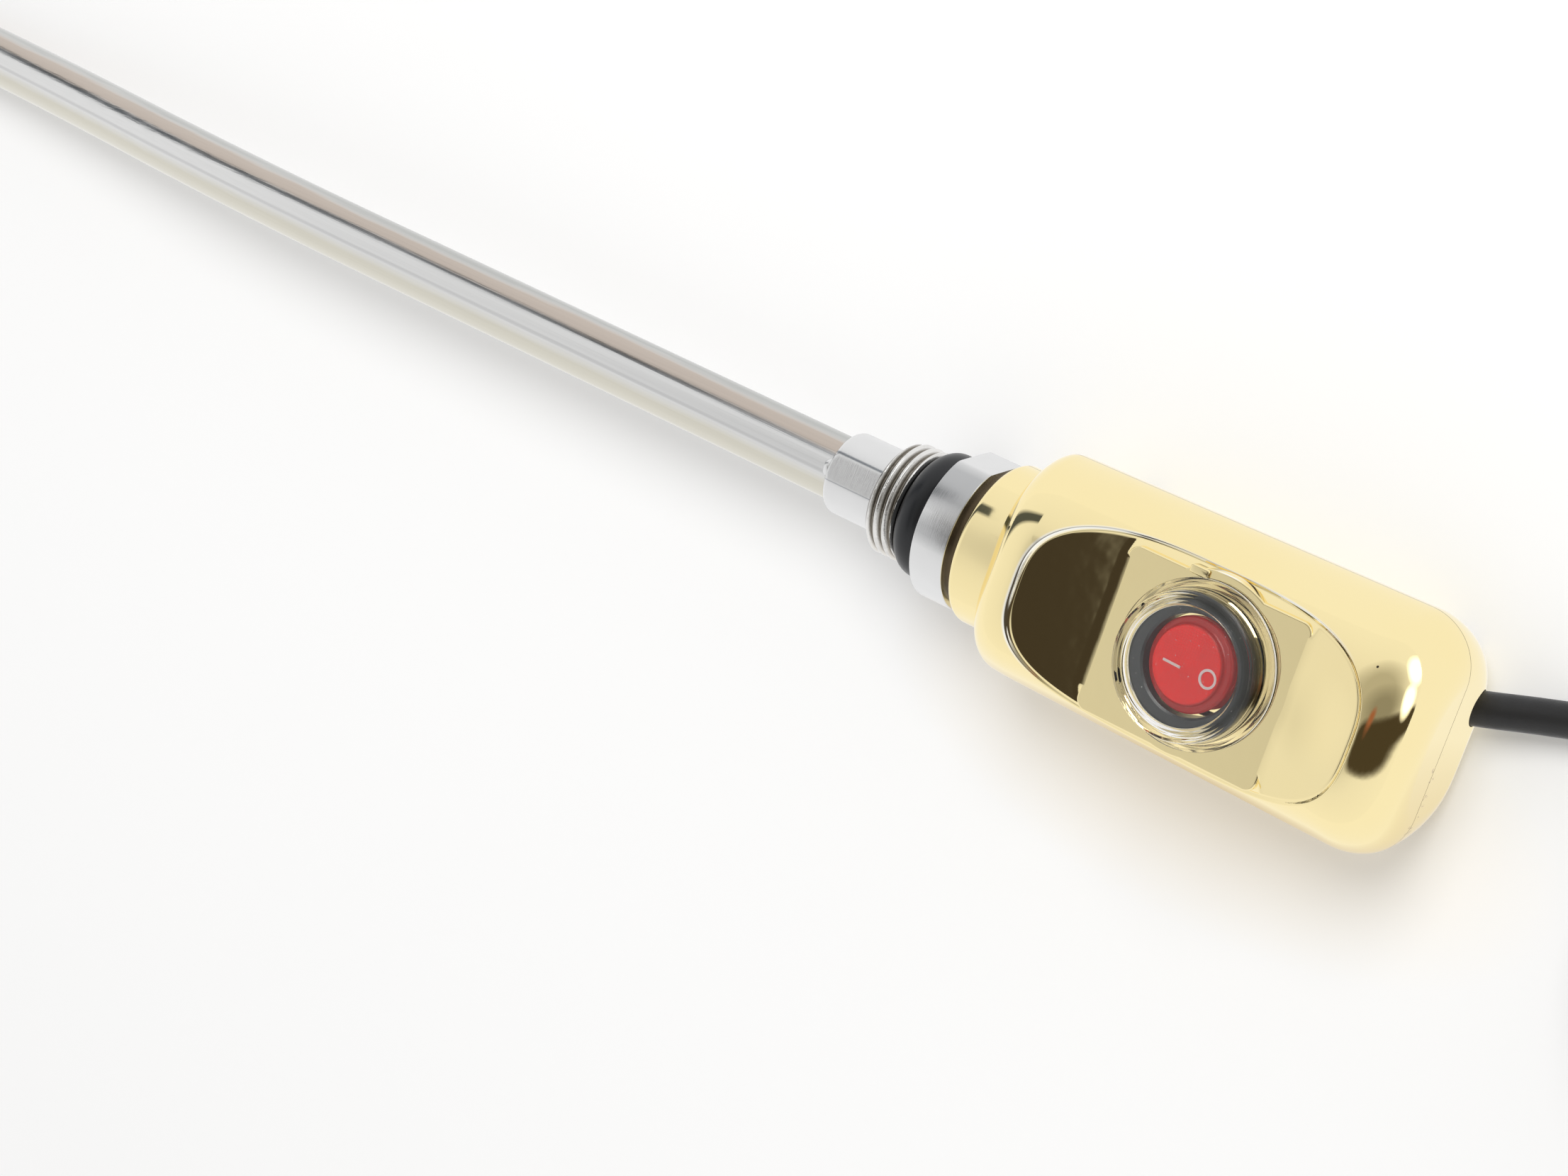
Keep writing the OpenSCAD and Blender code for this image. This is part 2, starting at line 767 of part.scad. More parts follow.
module waterproof_cap() {
    foot_r = cap_d / 2;
    out_r = cap_crown_d / 2;
    in_r = bezel_d / 2 + 0.2;
    color([0.95, 0.95, 0.95, 0.4])
        switch_turned([
            [switch_d / 2 + switch_gap, pad_h],
            [foot_r, pad_h],
            [foot_r, pad_h + 0.9],
            [foot_r - 0.6, pad_h + 1.5],
            [out_r + 0.5, pad_h + 1.9],
            [out_r + 0.3, pad_h + cap_h - 0.9],
            [out_r, pad_h + cap_h - 0.3],
            [out_r - 0.5, pad_h + cap_h],
            [out_r - 1.2, pad_h + cap_h],
            [out_r - 1.8, pad_h + cap_h - 0.3],
            [out_r - 2.2, pad_h + cap_h - 1.1],
            [0, pad_h + cap_h - 1.1],
            [0, pad_h + cap_h - 1.1 - cap_wall],
            [out_r - 2.2, pad_h + cap_h - 1.1 - cap_wall],
            [in_r, pad_h + cap_h - 1.1 - cap_wall],
            [in_r, pad_h + lip_t],
            [switch_d / 2 + switch_gap, pad_h + lip_t]
        ]);
}

module thermal_cutout() {
    color("saddlebrown")
        translate([cutout_x, -cutout_w / 2, cutout_z])
            union() {
                cube([cutout_l, cutout_w, cutout_h - 0.8]);
                translate([1, 1, 0])
                    cube([cutout_l - 2, cutout_w - 2, cutout_h]);
            }
}

function unit(v) = v / norm(v);
// Points of a smooth curve through a route, with a number of steps to each span
function curve_pt(a, b, c, d, t) =
    0.5 * (2 * b + (c - a) * t + (2 * a - 5 * b + 4 * c - d) * t * t
        + (3 * b - a - 3 * c + d) * t * t * t);
function curve(p, steps) = concat(
    [
        for (i = [0:len(p) - 2]) for (k = [0:steps - 1])
            curve_pt(
                i == 0 ? 2 * p[0] - p[1] : p[i - 1], p[i], p[i + 1],
                i == len(p) - 2 ? 2 * p[i + 1] - p[i] : p[i + 2], k / steps
            )
    ],
    [p[len(p) - 1]]
);
function square_off(v, t) = unit(v - (v * t) * t);
// Directions along a path, which leaves its first point along t0 and meets its last along t1
function tangents(p, t0, t1) = [
    for (i = [0:len(p) - 1]) i == 0 ? t0 : i == len(p) - 1 ? t1 : unit(p[i + 1] - p[i - 1])
];
// A side vector carried along the path without twist
function carried(ts, v0) = [
    for (i = 0, v = square_off(v0, ts[0]); i < len(ts);
        i = i + 1, v = i < len(ts) ? square_off(v, ts[i]) : v) v
];

// A tube swept along a path as one solid, cut square to t0 and t1 at its ends
module swept(p, r, sides, v0, t0, t1) {
    ts = tangents(p, t0, t1);
    vs = carried(ts, v0);
    n = sides;
    m = len(p);
    pts = [
        for (j = [0:m - 1]) let (v = vs[j], w = cross(ts[j], v))
            for (i = [0:n - 1]) p[j] + r * (cos(360 * i / n) * v + sin(360 * i / n) * w)
    ];
    side = [
        for (j = [0:m - 2]) for (i = [0:n - 1]) let (a = j * n + i, b = j * n + (i + 1) % n)
            for (f = [[a, a + n, b + n], [a, b + n, b]]) f
    ];
    ends = [[for (i = [0:n - 1]) i], [for (i = [n - 1:-1:0]) (m - 1) * n + i]];
    polyhedron(points = pts, faces = concat(side, ends), convexity = 8);
}

// Where the lead's sheath is stripped, and its three cores
strip_x = -19;
exit_dir = [cos(exit_turn), sin(exit_turn), 0];
exit_side = [-sin(exit_turn), cos(exit_turn), 0];
exit_pt = [body_x1, exit_y, -exit_depth];
strip_pt = exit_pt + strip_x * exit_dir;
function core_pt(a) = strip_pt + 1.3 * (cos(a) * exit_side + sin(a) * [0, 0, 1]);
blade_end = body_bottom - blade_reach;
core_r = core_lead_d / 2;

lead_gap = 0.15;
lane_z = -(seat_depth - shell_wall - core_r - 0.5);
// A core leaves the stripped sheath along the lead
function core_start(a) = core_pt(a) - lead_gap * exit_dir;
function between(a, b, t) = a + (b - a) * t;

module live_lead() {
    p0 = core_start(30);
    p3 = [switch_x + blade_pitch, 0, blade_end - lead_gap];
    rise = p3 + [1, 0, -core_lead_d - 1];
    color("brown")
        swept(
            curve([
                p0, p0 - core_lead_d * exit_dir, between(p0, rise, 0.6) + [0, 0, 0.5], rise,
                p3 - [0, 0, 1], p3
            ], 3),
            core_r, 8, [0, 0, 1], -exit_dir, [0, 0, 1]
        );
}

module heater_lead() {
    p0 = [switch_x, 0, blade_end - lead_gap];
    p2 = [cutout_x + cutout_l + lead_gap, 0, cutout_z + cutout_h / 2];
    q0 = [cutout_x - lead_gap, -1, cutout_z + cutout_h / 2];
    q3 = [plug_end + pin_reach + lead_gap, -pin_pitch / 2, 0];
    color("darkred") {
        swept(
            curve([
                p0, p0 - [0, 0, 1], p0 + [-3, -4, -3.4], p2 + [3, -2.2, -0.6], p2 + [1, 0, 0], p2
            ], 3),
            core_r, 8, [1, 0, 0], [0, 0, -1], [-1, 0, 0]
        );
        swept(
            curve([q0, q0 - [1, 0, 0], q3 + [2.2, 0, -3], q3 + [1, 0, 0], q3], 3),
            core_r, 8, [0, 1, 0], [-1, 0, 0], [-1, 0, 0]
        );
    }
}

module neutral_lead() {
    p0 = core_start(270);
    q0 = [plug_end + pin_reach + lead_gap, pin_pitch / 2, 0];
    b0 = [switch_x - blade_pitch, 0, blade_end - lead_gap];
    fork = [switch_x - blade_pitch - core_lead_d, core_lane, lane_z];
    color("royalblue") {
        swept(
            curve([
                p0, p0 - core_lead_d * exit_dir, [switch_x + switch_d / 2, core_lane, lane_z], fork,
                [cutout_x + core_lead_d, core_lane, lane_z + 3], q0 + [3, 2, -3], q0 + [1, 0, 0], q0
            ], 3),
            core_r, 8, [0, 0, 1], -exit_dir, [-1, 0, 0]
        );
        swept(
            curve([fork, b0 + [0, 4, -4], b0 + [0, 0.5, -2.5], b0 - [0, 0, 1], b0], 3),
            core_r, 8, [1, 0, 0], [0, -1, 0], [0, 0, 1]
        );
    }
}

tag_t = 0.8;
tag_x = plug_end;
tag_reach = 8;

module earth_lead() {
    p0 = core_start(150);
    q0 = [tag_x + tag_t + lead_gap, -tag_reach + core_r + 0.5, earth_z];
    color("limegreen")
        swept(
            curve([
                p0, p0 - core_lead_d * exit_dir, [switch_x + switch_d / 2, -core_lane, lane_z],
                [switch_x - blade_pitch, -core_lane, lane_z], [cutout_x + core_lead_d, -core_lane, lane_z],
                q0 + [3, -0.5, -0.4], q0 + [1, 0, 0], q0
            ], 3),
            core_r, 8, [0, 0, 1], -exit_dir, [-1, 0, 0]
        );
}

module earth_tag() {
    color("gold")
        difference() {
            translate([tag_x, -tag_reach, earth_z - 2])
                cube([tag_t, tag_reach + 2, 4]);
            rod_x(earth_d / 2, tag_x - 1, tag_x + tag_t + 1, 0, earth_z);
        }
}

module earth_screw() {
    color("silver")
        union() {
            rod_x(earth_d / 2, plug_end - 2.5, tag_x + tag_t, 0, earth_z);
            rod_x(2.3, tag_x + tag_t, tag_x + tag_t + 1.8, 0, earth_z);
        }
}

clamp_t = 2.2;

module cord_clamp() {
    color("white")
        at_exit()
            difference() {
                translate([clamp_x, -clamp_screw_y - 2.4, 0])
                    cube([clamp_l, 2 * clamp_screw_y + 4.8, cord_d / 2 + clamp_t]);
                translate([clamp_x - 1, 0, 0])
                    rotate([0, 90, 0])
                        cylinder(d = cord_d, h = clamp_l + 2);
                for (s = [-1, 1])
                    translate([clamp_x + clamp_l / 2, s * clamp_screw_y, -1])
                        cylinder(d = 2.2, h = cord_d);
                for (s = [-1, 1])
                    translate([
                        clamp_x - 1, s > 0 ? cord_d / 2 + 0.6 : -clamp_screw_y - 3, clamp_t
                    ])
                        cube([clamp_l + 2, clamp_screw_y - cord_d / 2 + 2.4, cord_d]);
            }
}

module clamp_screws() {
    color("silver")
        at_exit()
            for (s = [-1, 1])
                translate([clamp_x + clamp_l / 2, s * clamp_screw_y, -2.4]) {
                    cylinder(d = 2.2, h = 2.4 + clamp_t);
                    translate([0, 0, 2.4 + clamp_t])
                        cylinder(d = 3.6, h = 1.4);
                }
}

module cable_grommet() {
    color("black")
        at_exit()
            translate([grommet_x, 0, 0])
                rotate([0, 90, 0])
                    difference() {
                        cylinder(r = cord_d / 2 + grommet_wall, h = grommet_t);
                        translate([0, 0, -1])
                            cylinder(d = cord_d, h = grommet_t + 2);
                    }
}

// The lead is folded into a flat hank past the housing's lead end. Its loops go in and out between
// an inner and an outer radius of fold, and climb a layer each time they turn back.
floor_z = -seat_depth;
lay_z = floor_z + cord_d / 2;
coil_z = lay_z + tie_t;
outer_r = hank_r + coil_pitch;
fold_bulge = 1.5;
hank_c = [156 + hank_run / 2, -6.9];
hank_end = 5.25;
run_steps = 3;
fold_steps = 9;
loop_steps = 2 * (run_steps + fold_steps);
// Radius and layer after n loops, of which every three make two layers
function fold_radius(m) =
    m < 1 ? outer_r - coil_pitch * m
    : m < 1.5 ? hank_r - fold_bulge * sin(360 * (m - 1))
    : m < 2.5 ? hank_r + coil_pitch * (m - 1.5)
    : outer_r + fold_bulge * sin(360 * (m - 2.5));
function fold_layer(m) =
    m < 1 ? 0
    : m < 1.5 ? (1 - cos(360 * (m - 1))) / 2
    : m < 2.5 ? 1
    : 1 + (1 - cos(360 * (m - 2.5))) / 2;
// Point of a loop at a share q of its way: far run, fold, near run, fold
function loop_pt(q, r) =
    q < 0.25 ? [hank_run * (4 * q - 0.5), r]
    : q < 0.5 ? [hank_run / 2 + r * cos(90 - 720 * (q - 0.25)), r * sin(90 - 720 * (q - 0.25))]
    : q < 0.75 ? [hank_run * (0.5 - 4 * (q - 0.5)), -r]
    : [-hank_run / 2 + r * cos(-90 - 720 * (q - 0.75)), r * sin(-90 - 720 * (q - 0.75))];
function coil_pt(n) =
    let (m = n - 3 * floor(n / 3), p = loop_pt(n - floor(n), fold_radius(m)))
        [
            hank_c[0] + p[0], hank_c[1] + p[1],
            coil_z + coil_pitch * (2 * floor(n / 3) + fold_layer(m))
        ];
coil_in = unit(coil_pt(0.002) - coil_pt(0));
coil_out = unit(coil_pt(hank_end - 0.001) - coil_pt(hank_end - 0.003));
coil_start = coil_pt(0) - cord_d * coil_in;
coil_end = coil_pt(hank_end) + cord_d * coil_out;
// Shares of a loop at which the hank has a point, few on its runs and more on its folds
loop_shares = [
    for (k = [0:3]) let (steps = k % 2 == 0 ? run_steps : fold_steps)
        for (i = [0:steps - 1]) (k + i / steps) / 4
];
coil_path = concat(
    [coil_start, coil_pt(0) - 0.5 * cord_d * coil_in],
    [
        for (k = [0:hank_end]) for (q = loop_shares)
            if (k + q < hank_end) coil_pt(k + q)
    ],
    [coil_pt(hank_end), coil_pt(hank_end) + 0.5 * cord_d * coil_out, coil_end]
);

// Least gap between points of the hank that lie at least half a loop apart
coil_gap = min([
    for (i = [0:2:len(coil_path) - 1])
        for (j = [i + loop_steps / 2:1:len(coil_path) - 1])
            norm(coil_path[i] - coil_path[j])
]) - cord_d;
echo(least_gap_in_coil = coil_gap);

// Route of the lead's free stretch
cord_route = [
    strip_pt, exit_pt - 4 * exit_dir, exit_pt + 2 * exit_dir, [104, 9.7, -11.3],
    [112, 12, lay_z + 0.3], [124, 15.4, lay_z + 0.6], [134, 17.7, lay_z + 0.9],
    coil_start - 7 * coil_in, coil_start
];

module supply_cord() {
    color([0.12, 0.12, 0.12])
        swept(curve(cord_route, 4), cord_d / 2, 12, [0, 0, 1], exit_dir, coil_in);
}

module cord_coil() {
    color([0.12, 0.12, 0.12])
        swept(coil_path, cord_d / 2, 6, [0, 0, 1], coil_in, coil_out);
}

// Strap round the hank's waist, where its runs are straight
tie_w = 5;
tie_gap = 0.1;
tie_y0 = -fold_radius(2.625) - cord_d / 2 - tie_gap;
tie_y1 = fold_radius(0.125) + cord_d / 2 + tie_gap;
tie_z0 = floor_z + tie_t;
tie_z1 = coil_z + 3 * coil_pitch + cord_d / 2 + tie_gap;

module coil_tie() {
    color("dimgray")
        translate([hank_c[0], hank_c[1] + (tie_y0 + tie_y1) / 2, (tie_z0 + tie_z1) / 2])
            rotate([90, 0, 90])
                linear_extrude(height = tie_w, center = true)
                    difference() {
                        polygon(round_rect(
                            tie_y1 - tie_y0 + 2 * tie_t, tie_z1 - tie_z0 + 2 * tie_t, 3, 4
                        ));
                        polygon(round_rect(tie_y1 - tie_y0, tie_z1 - tie_z0, 2, 4));
                    }
}

// The lead comes off the top of the hank, sinks past its end and turns into the plug's boot. The
// plug lies on its side.
leave = coil_pt(hank_end);
plug_at = [leave[0] + 41.9, leave[1] - 9.1, floor_z + plug_d / 2];
plug_dir = [cos(plug_turn), -sin(plug_turn), 0];
boot_r = cord_d / 2 + 2;

tail_route = [
    coil_end, leave + [12, 0.2, -0.2], leave + [18.5, -0.3, -1.1], leave + [24.9, -1.7, -2.5],
    leave + [31, -4, -3.8], plug_at - 5.9 * plug_dir + [0, 0, 0.3], plug_at - 0.1 * plug_dir
];

module tail_cord() {
    color([0.12, 0.12, 0.12])
        swept(curve(tail_route, 4), cord_d / 2, 12, [0, 0, 1], coil_out, plug_dir);
}

module at_plug() {
    translate(plug_at)
        rotate([90, 0, 90 - plug_turn])
            children();
}

plug_face = boot_length + plug_length;

module plug_body() {
    color([0.12, 0.12, 0.12])
        at_plug()
            difference() {
                rotate_extrude()
                    polygon([
                        [0, 0],
                        [boot_r, 0],
                        [boot_r + 1.2, boot_length * 0.6],
                        [boot_r + 4, boot_length * 0.85],
                        [plug_d / 2 - 3, boot_length],
                        [plug_d / 2 - 0.6, boot_length + 2.4],
                        [plug_d / 2, boot_length + 4],
                        [plug_d / 2, plug_face - 0.8],
                        [plug_d / 2 - 0.8, plug_face],
                        [0, plug_face]
                    ]);
                for (s = [-1, 1])
                    translate([s * plug_pin_pitch / 2, 0, plug_face - 8])
                        cylinder(d = plug_pin_d, h = 9);
                // Grooves of the earth contacts
                for (s = [-1, 1])
                    translate([-2.5, s > 0 ? plug_d / 2 - 2.5 : -plug_d / 2 - 2, boot_length + 6])
                        cube([5, 4.5, plug_length]);
            }
}

module plug_pins() {
    color("silver")
        at_plug()
            for (s = [-1, 1])
                translate([s * plug_pin_pitch / 2, 0, plug_face - 8]) {
                    cylinder(d = plug_pin_d, h = 8 + plug_pin_length - plug_pin_d / 2);
                    translate([0, 0, 8 + plug_pin_length - plug_pin_d / 2])
                        sphere(d = plug_pin_d);
                }
}

module earth_contacts() {
    color("silver")
        at_plug()
            for (s = [-1, 1])
                translate([-2.5, s > 0 ? plug_d / 2 - 2.5 : -plug_d / 2 + 1.7, boot_length + 6])
                    cube([5, 0.8, plug_length - 6]);
}

rod_sheath();
magnesia_fill();
resistance_winding();
winding_core();
terminal_pins();
end_seal();
threaded_plug();
o_ring();
front_shell();
rear_shell();
shell_screws();
switch_body();
rocker();
indicator_lamp();
switch_terminals();
waterproof_cap();
thermal_cutout();
live_lead();
heater_lead();
neutral_lead();
earth_lead();
earth_tag();
earth_screw();
cord_clamp();
clamp_screws();
cable_grommet();
supply_cord();
cord_coil();
coil_tie();
tail_cord();
plug_body();
plug_pins();
earth_contacts();
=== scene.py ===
"""Looks of the screw-in immersion heater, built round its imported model.

Metres throughout, in the model's frame: the origin is the centre of the collar's sealing face,
+X runs towards the lead and +Z is the switch side. Named sizes are millimetres and go through mm().
"""

import math

import bmesh
import bpy
import numpy as np
from mathutils import Matrix, Vector


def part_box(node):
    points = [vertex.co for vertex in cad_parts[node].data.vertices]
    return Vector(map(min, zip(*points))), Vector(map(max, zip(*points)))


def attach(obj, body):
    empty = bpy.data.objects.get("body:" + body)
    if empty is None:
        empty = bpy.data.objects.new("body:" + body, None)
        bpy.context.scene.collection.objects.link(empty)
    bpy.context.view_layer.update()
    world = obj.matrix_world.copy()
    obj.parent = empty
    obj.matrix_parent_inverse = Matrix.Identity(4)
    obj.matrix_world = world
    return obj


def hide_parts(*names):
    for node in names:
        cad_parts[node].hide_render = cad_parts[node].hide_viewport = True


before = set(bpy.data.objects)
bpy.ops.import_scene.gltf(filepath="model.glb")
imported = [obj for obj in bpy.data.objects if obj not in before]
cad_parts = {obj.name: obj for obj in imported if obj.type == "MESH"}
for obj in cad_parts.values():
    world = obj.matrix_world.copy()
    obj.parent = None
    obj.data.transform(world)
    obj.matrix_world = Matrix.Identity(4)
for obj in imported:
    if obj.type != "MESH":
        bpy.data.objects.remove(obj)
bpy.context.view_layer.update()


def mm(value):
    """Millimetres to metres, for a number, a list or an array."""
    return np.asarray(value, float) * 0.001 if np.ndim(value) else value * 0.001


def span(node, axis):
    """Lowest and highest station of a CAD node along an axis, in millimetres."""
    low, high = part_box(node)
    return low[axis] * 1000, high[axis] * 1000


# Sizes, in millimetres --------------------

# Rod
ROD_R = 6.0
ROD_LENGTH = 320.0
BEND_RUN = 160.0
TIP_RUN = 20.0
# Threaded plug
THREAD_R = 20.955 / 2
THREAD_PITCH = 1.814
THREAD_DEPTH = 0.95
THREAD_X0, THREAD_X1 = -12.6, -6.4
BOSS_X0 = span("threaded_plug", 0)[0]
BOSS_R = 7.7
BOSS_FLATS = 14.6
BOSS_TURN = math.radians(12)
RELIEF_R = 8.5
COLLAR_R = 13.8
COLLAR_T = 6.8
COLLAR_FLATS = 25.6
COLLAR_TURN = math.radians(8.5)
SPIGOT_R = 12.6
# Housing
NECK_R = 14.78
NECK_X0 = COLLAR_T + 1.83
BODY_X0 = NECK_X0 + 5.87
BODY_LENGTH = 80.5
BODY_X1 = BODY_X0 + BODY_LENGTH
WIDTH_NECK, WIDTH_LEAD = 40.2, 42.7
CROWN_H = 18.6
SEAT_DEPTH = 15.0
BELLY_H = SEAT_DEPTH + 0.4
CORNER_NECK, CORNER_LEAD = 4.0, 10.0
ROLL_NECK, ROLL_LEAD, ROLL_BACK = 9.0, 12.0, 5.0
FLOOR_Z = -SEAT_DEPTH
# Recess and switch
SWITCH_X = BODY_X0 + 42.7
PAD_X = SWITCH_X - 0.6
PAD_H = 15.3
PAD_LENGTH, PAD_W = 34.25, 29.2
PAD_Y = -0.75
PAD_BOSS_R = 15.6
OVAL_X = SWITCH_X - 2.1
OVAL_LENGTH, OVAL_W, OVAL_POWER = 63.0, 32.5, 3.07
OVAL_Y = -0.75
RECESS_DEPTH = 0.8
ROCKER_TILT = math.radians(7)
AXIS_H = PAD_H - 1.2
# Lead
CORD_D = 6.0
EXIT_TURN = math.radians(16.3)
EXIT = np.array([BODY_X1, 7.1, -9.8])


# Materials --------------------


class Graph:
    """Short calls for the nodes of a material's or the world's tree."""

    def __init__(self, tree):
        self.nodes = tree.nodes
        self.links = tree.links

    def node(self, kind, inputs=None, **settings):
        """A new node. inputs are given to its sockets, and settings are set on the node."""
        made = self.nodes.new(kind)
        for key, value in settings.items():
            setattr(made, key, value)
        for key, value in (inputs or {}).items():
            self.give(made.inputs[key], value)
        return made

    def join(self, source, target):
        self.links.new(source, target)

    def give(self, socket, value):
        """Sets a socket to a number or colour, or joins another socket to it."""
        if hasattr(value, "links"):
            self.join(value, socket)
        else:
            socket.default_value = (*value, 1) if np.ndim(value) else value

    def ramp(self, value, stops, blend="LINEAR"):
        made = self.node("ShaderNodeValToRGB", {"Fac": value})
        bar = made.color_ramp
        bar.interpolation = blend
        while len(bar.elements) < len(stops):
            bar.elements.new(0.5)
        for element, (where, grey) in zip(bar.elements, stops):
            element.position = where
            element.color = (grey, grey, grey, 1)
        return made.outputs["Color"]

    def mix(self, a, b, share, blend="MIX"):
        """Colours or sockets a and b, mixed by a socket or a number."""
        inputs = {6: a, 7: b, 0: share}
        return self.node("ShaderNodeMix", inputs, data_type="RGBA", blend_type=blend).outputs[2]

    def math(self, kind, *values):
        return self.node("ShaderNodeMath", dict(enumerate(values)), operation=kind).outputs[0]

    def times(self, a, b):
        return self.math("MULTIPLY", a, b)

    def plus(self, a, b):
        return self.math("ADD", a, b)

    def minus(self, a, b):
        return self.math("SUBTRACT", a, b)

    def most(self, a, b):
        return self.math("MAXIMUM", a, b)

    def hypot(self, a, b):
        return self.math("SQRT", self.plus(self.times(a, a), self.times(b, b)))

    def range(self, value, low, high, to_low=0.0, to_high=1.0):
        return self.node("ShaderNodeMapRange", {
            "Value": value, "From Min": low, "From Max": high, "To Min": to_low, "To Max": to_high,
        }).outputs["Result"]

    def dot(self, at, way):
        made = self.node("ShaderNodeVectorMath", {0: at}, operation="DOT_PRODUCT")
        made.inputs[1].default_value = way
        return made.outputs["Value"]

    def axes(self, at):
        """The x, y and z of a vector socket."""
        return self.node("ShaderNodeSeparateXYZ", {0: at}).outputs

    def window(self, value, low, high, soft):
        """1 where low < value < high, with soft edges, and 0 outside."""
        up = self.range(value, low - soft, low + soft)
        down = self.range(value, high - soft, high + soft, 1.0, 0.0)
        return self.times(up, down)


class Material(Graph):
    """A node material round the Principled shader."""

    def __init__(self, name):
        self.material = bpy.data.materials.new(name)
        self.material.use_nodes = True
        super().__init__(self.material.node_tree)
        self.shader = self.nodes["Principled BSDF"]

    def set(self, **values):
        for key, value in values.items():
            self.give(self.shader.inputs[key.replace("_", " ")], value)

    def place(self, scale=(1, 1, 1)):
        """Object coordinates in millimetres, stretched by scale."""
        where = self.node("ShaderNodeTexCoord").outputs["Object"]
        mapping = self.node("ShaderNodeMapping", {"Vector": where})
        mapping.inputs["Scale"].default_value = [1000 * s for s in scale]
        return mapping.outputs["Vector"]

    def noise(self, at, scale, detail=3.0, roughness=0.55):
        return self.node("ShaderNodeTexNoise", {
            "Vector": at, "Scale": scale, "Detail": detail, "Roughness": roughness,
        }).outputs["Fac"]

    def bump(self, height, strength, distance):
        made = self.node("ShaderNodeBump",
                         {"Height": height, "Strength": strength, "Distance": distance})
        self.feed("Normal", made.outputs["Normal"])

    def feed(self, key, socket):
        self.join(socket, self.shader.inputs[key])


# The third colour is a near-white painted highlight for the far stretch of the recess's rim.
GOLD, GOLD_DEEP, GOLD_HIGHLIGHT = (0.955, 0.82, 0.465), (0.95, 0.80, 0.43), (1.0, 0.99, 0.93)
DIRT, RUBBED = (0.05, 0.04, 0.03), (0.45, 0.33, 0.22)
# Heights over which marks of the top face fade in
TOP_ONLY = (12, 13)
# Place and radius of the dark specks beside the recess
SPECKS = ((85.6, 12.4, 0.22), (84.4, -10.2, 0.2))


def painted_rim_highlight(m, x, y, z):
    """1 on the far, neck-end stretch of the recess's rim, where a bright highlight is painted on
    the plating.
    """

    def power(value, middle, half):
        away = m.math("ABSOLUTE", m.math("DIVIDE", m.minus(value, middle), half))
        return m.math("POWER", away, OVAL_POWER)

    level = m.math("POWER", m.plus(power(x, OVAL_X, OVAL_LENGTH / 2),
                                   power(y, OVAL_Y, OVAL_W / 2)), 1 / OVAL_POWER)
    edge = m.times(m.window(level, 0.996, 1.022, 0.008), m.range(z, *TOP_ONLY))
    return m.times(edge, m.range(m.minus(y, m.times(x, 0.5)), -30, -22))


def gold(name, rough=0.045):
    """Gold metallised plastic: a mirror with faint ripple and dust, a painted highlight on part of
    the recess's rim, two dark specks, and rubbed spots along the parting line's lead end."""
    m = Material(name)
    at = m.place()
    m.set(Metallic=1.0, Base_Color=GOLD, IOR=1.45)
    x, y, z = m.axes(at)
    # Painted highlight: the rim's far, neck-end stretch is mixed towards white.
    base = m.mix(m.mix(GOLD, GOLD_DEEP, m.noise(at, 0.06, 2)), GOLD_HIGHLIGHT, painted_rim_highlight(m, x, y, z))
    for spot_x, spot_y, size in SPECKS:
        d = m.hypot(m.minus(x, spot_x), m.minus(y, spot_y))
        speck = m.times(m.range(d, size * 0.7, size, 1.0, 0.0), m.range(z, *TOP_ONLY))
        base = m.mix(base, DIRT, speck)
    rub = m.ramp(m.noise(m.place((1, 1, 0.45)), 1.1, 4, 0.7), [(0.60, 0.0), (0.64, 1.0)])
    rub = m.times(rub, m.window(z, -1.6, 1.2, 0.5))
    rub = m.times(rub, m.times(m.range(x, 88, 91), m.range(y, 1, -2)))
    m.feed("Base Color", m.mix(base, RUBBED, m.times(rub, 0.7)))
    dust = m.ramp(m.noise(at, 2.2, 4, 0.7), [(0.60, 0.0), (0.78, 1.0)])
    m.feed("Roughness", m.range(dust, 0, 1, rough, rough + 0.05))
    m.bump(m.noise(at, 0.35, 1, 0.3), 0.012, 0.001)
    return m.material


def steel_rod():
    """Polished stainless tube: brown heat tint along its far side and draw marks, with painted
    reflections: a grey far edge, a cream near side and a dark line along the top.
    """
    m = Material("polished_rod")
    _, y, _ = m.axes(m.place())
    streaks = m.noise(m.place((0.015, 1.4, 1.4)), 1.6, 4, 0.6)
    cloud = m.noise(m.place((0.05, 0.5, 0.5)), 0.5, 4, 0.6)
    m.set(Metallic=1.0, Base_Color=(0.76, 0.76, 0.75))
    side = m.plus(y, m.range(cloud, 0.2, 0.8, -0.35, 0.35))
    brown = m.window(side, 3.3, 5.45, 0.35)
    base = m.mix((0.78, 0.78, 0.775), (0.56, 0.49, 0.43), brown)
    # Painted reflections: the far edge is greyed and the near side turned cream.
    base = m.mix(base, (0.50, 0.505, 0.49), m.range(side, 5.2, 5.8))
    base = m.mix(base, (0.68, 0.655, 0.57), m.range(side, -0.7, -2.4))
    # Painted reflection: a dark grey line along the top of the rod.
    line = m.window(m.plus(y, m.range(cloud, 0.2, 0.8, -0.06, 0.06)), -0.55, 0.05, 0.18)
    base = m.mix(base, (0.62, 0.62, 0.62), m.times(line, 0.8))
    base = m.mix(base, (0.9, 0.9, 0.9), m.range(streaks, 0.3, 0.75, 0.0, 0.35), "MULTIPLY")
    m.feed("Base Color", base)
    m.feed("Roughness", m.range(streaks, 0.3, 0.8, 0.13, 0.23))
    m.bump(streaks, 0.05, 0.0008)
    return m.material


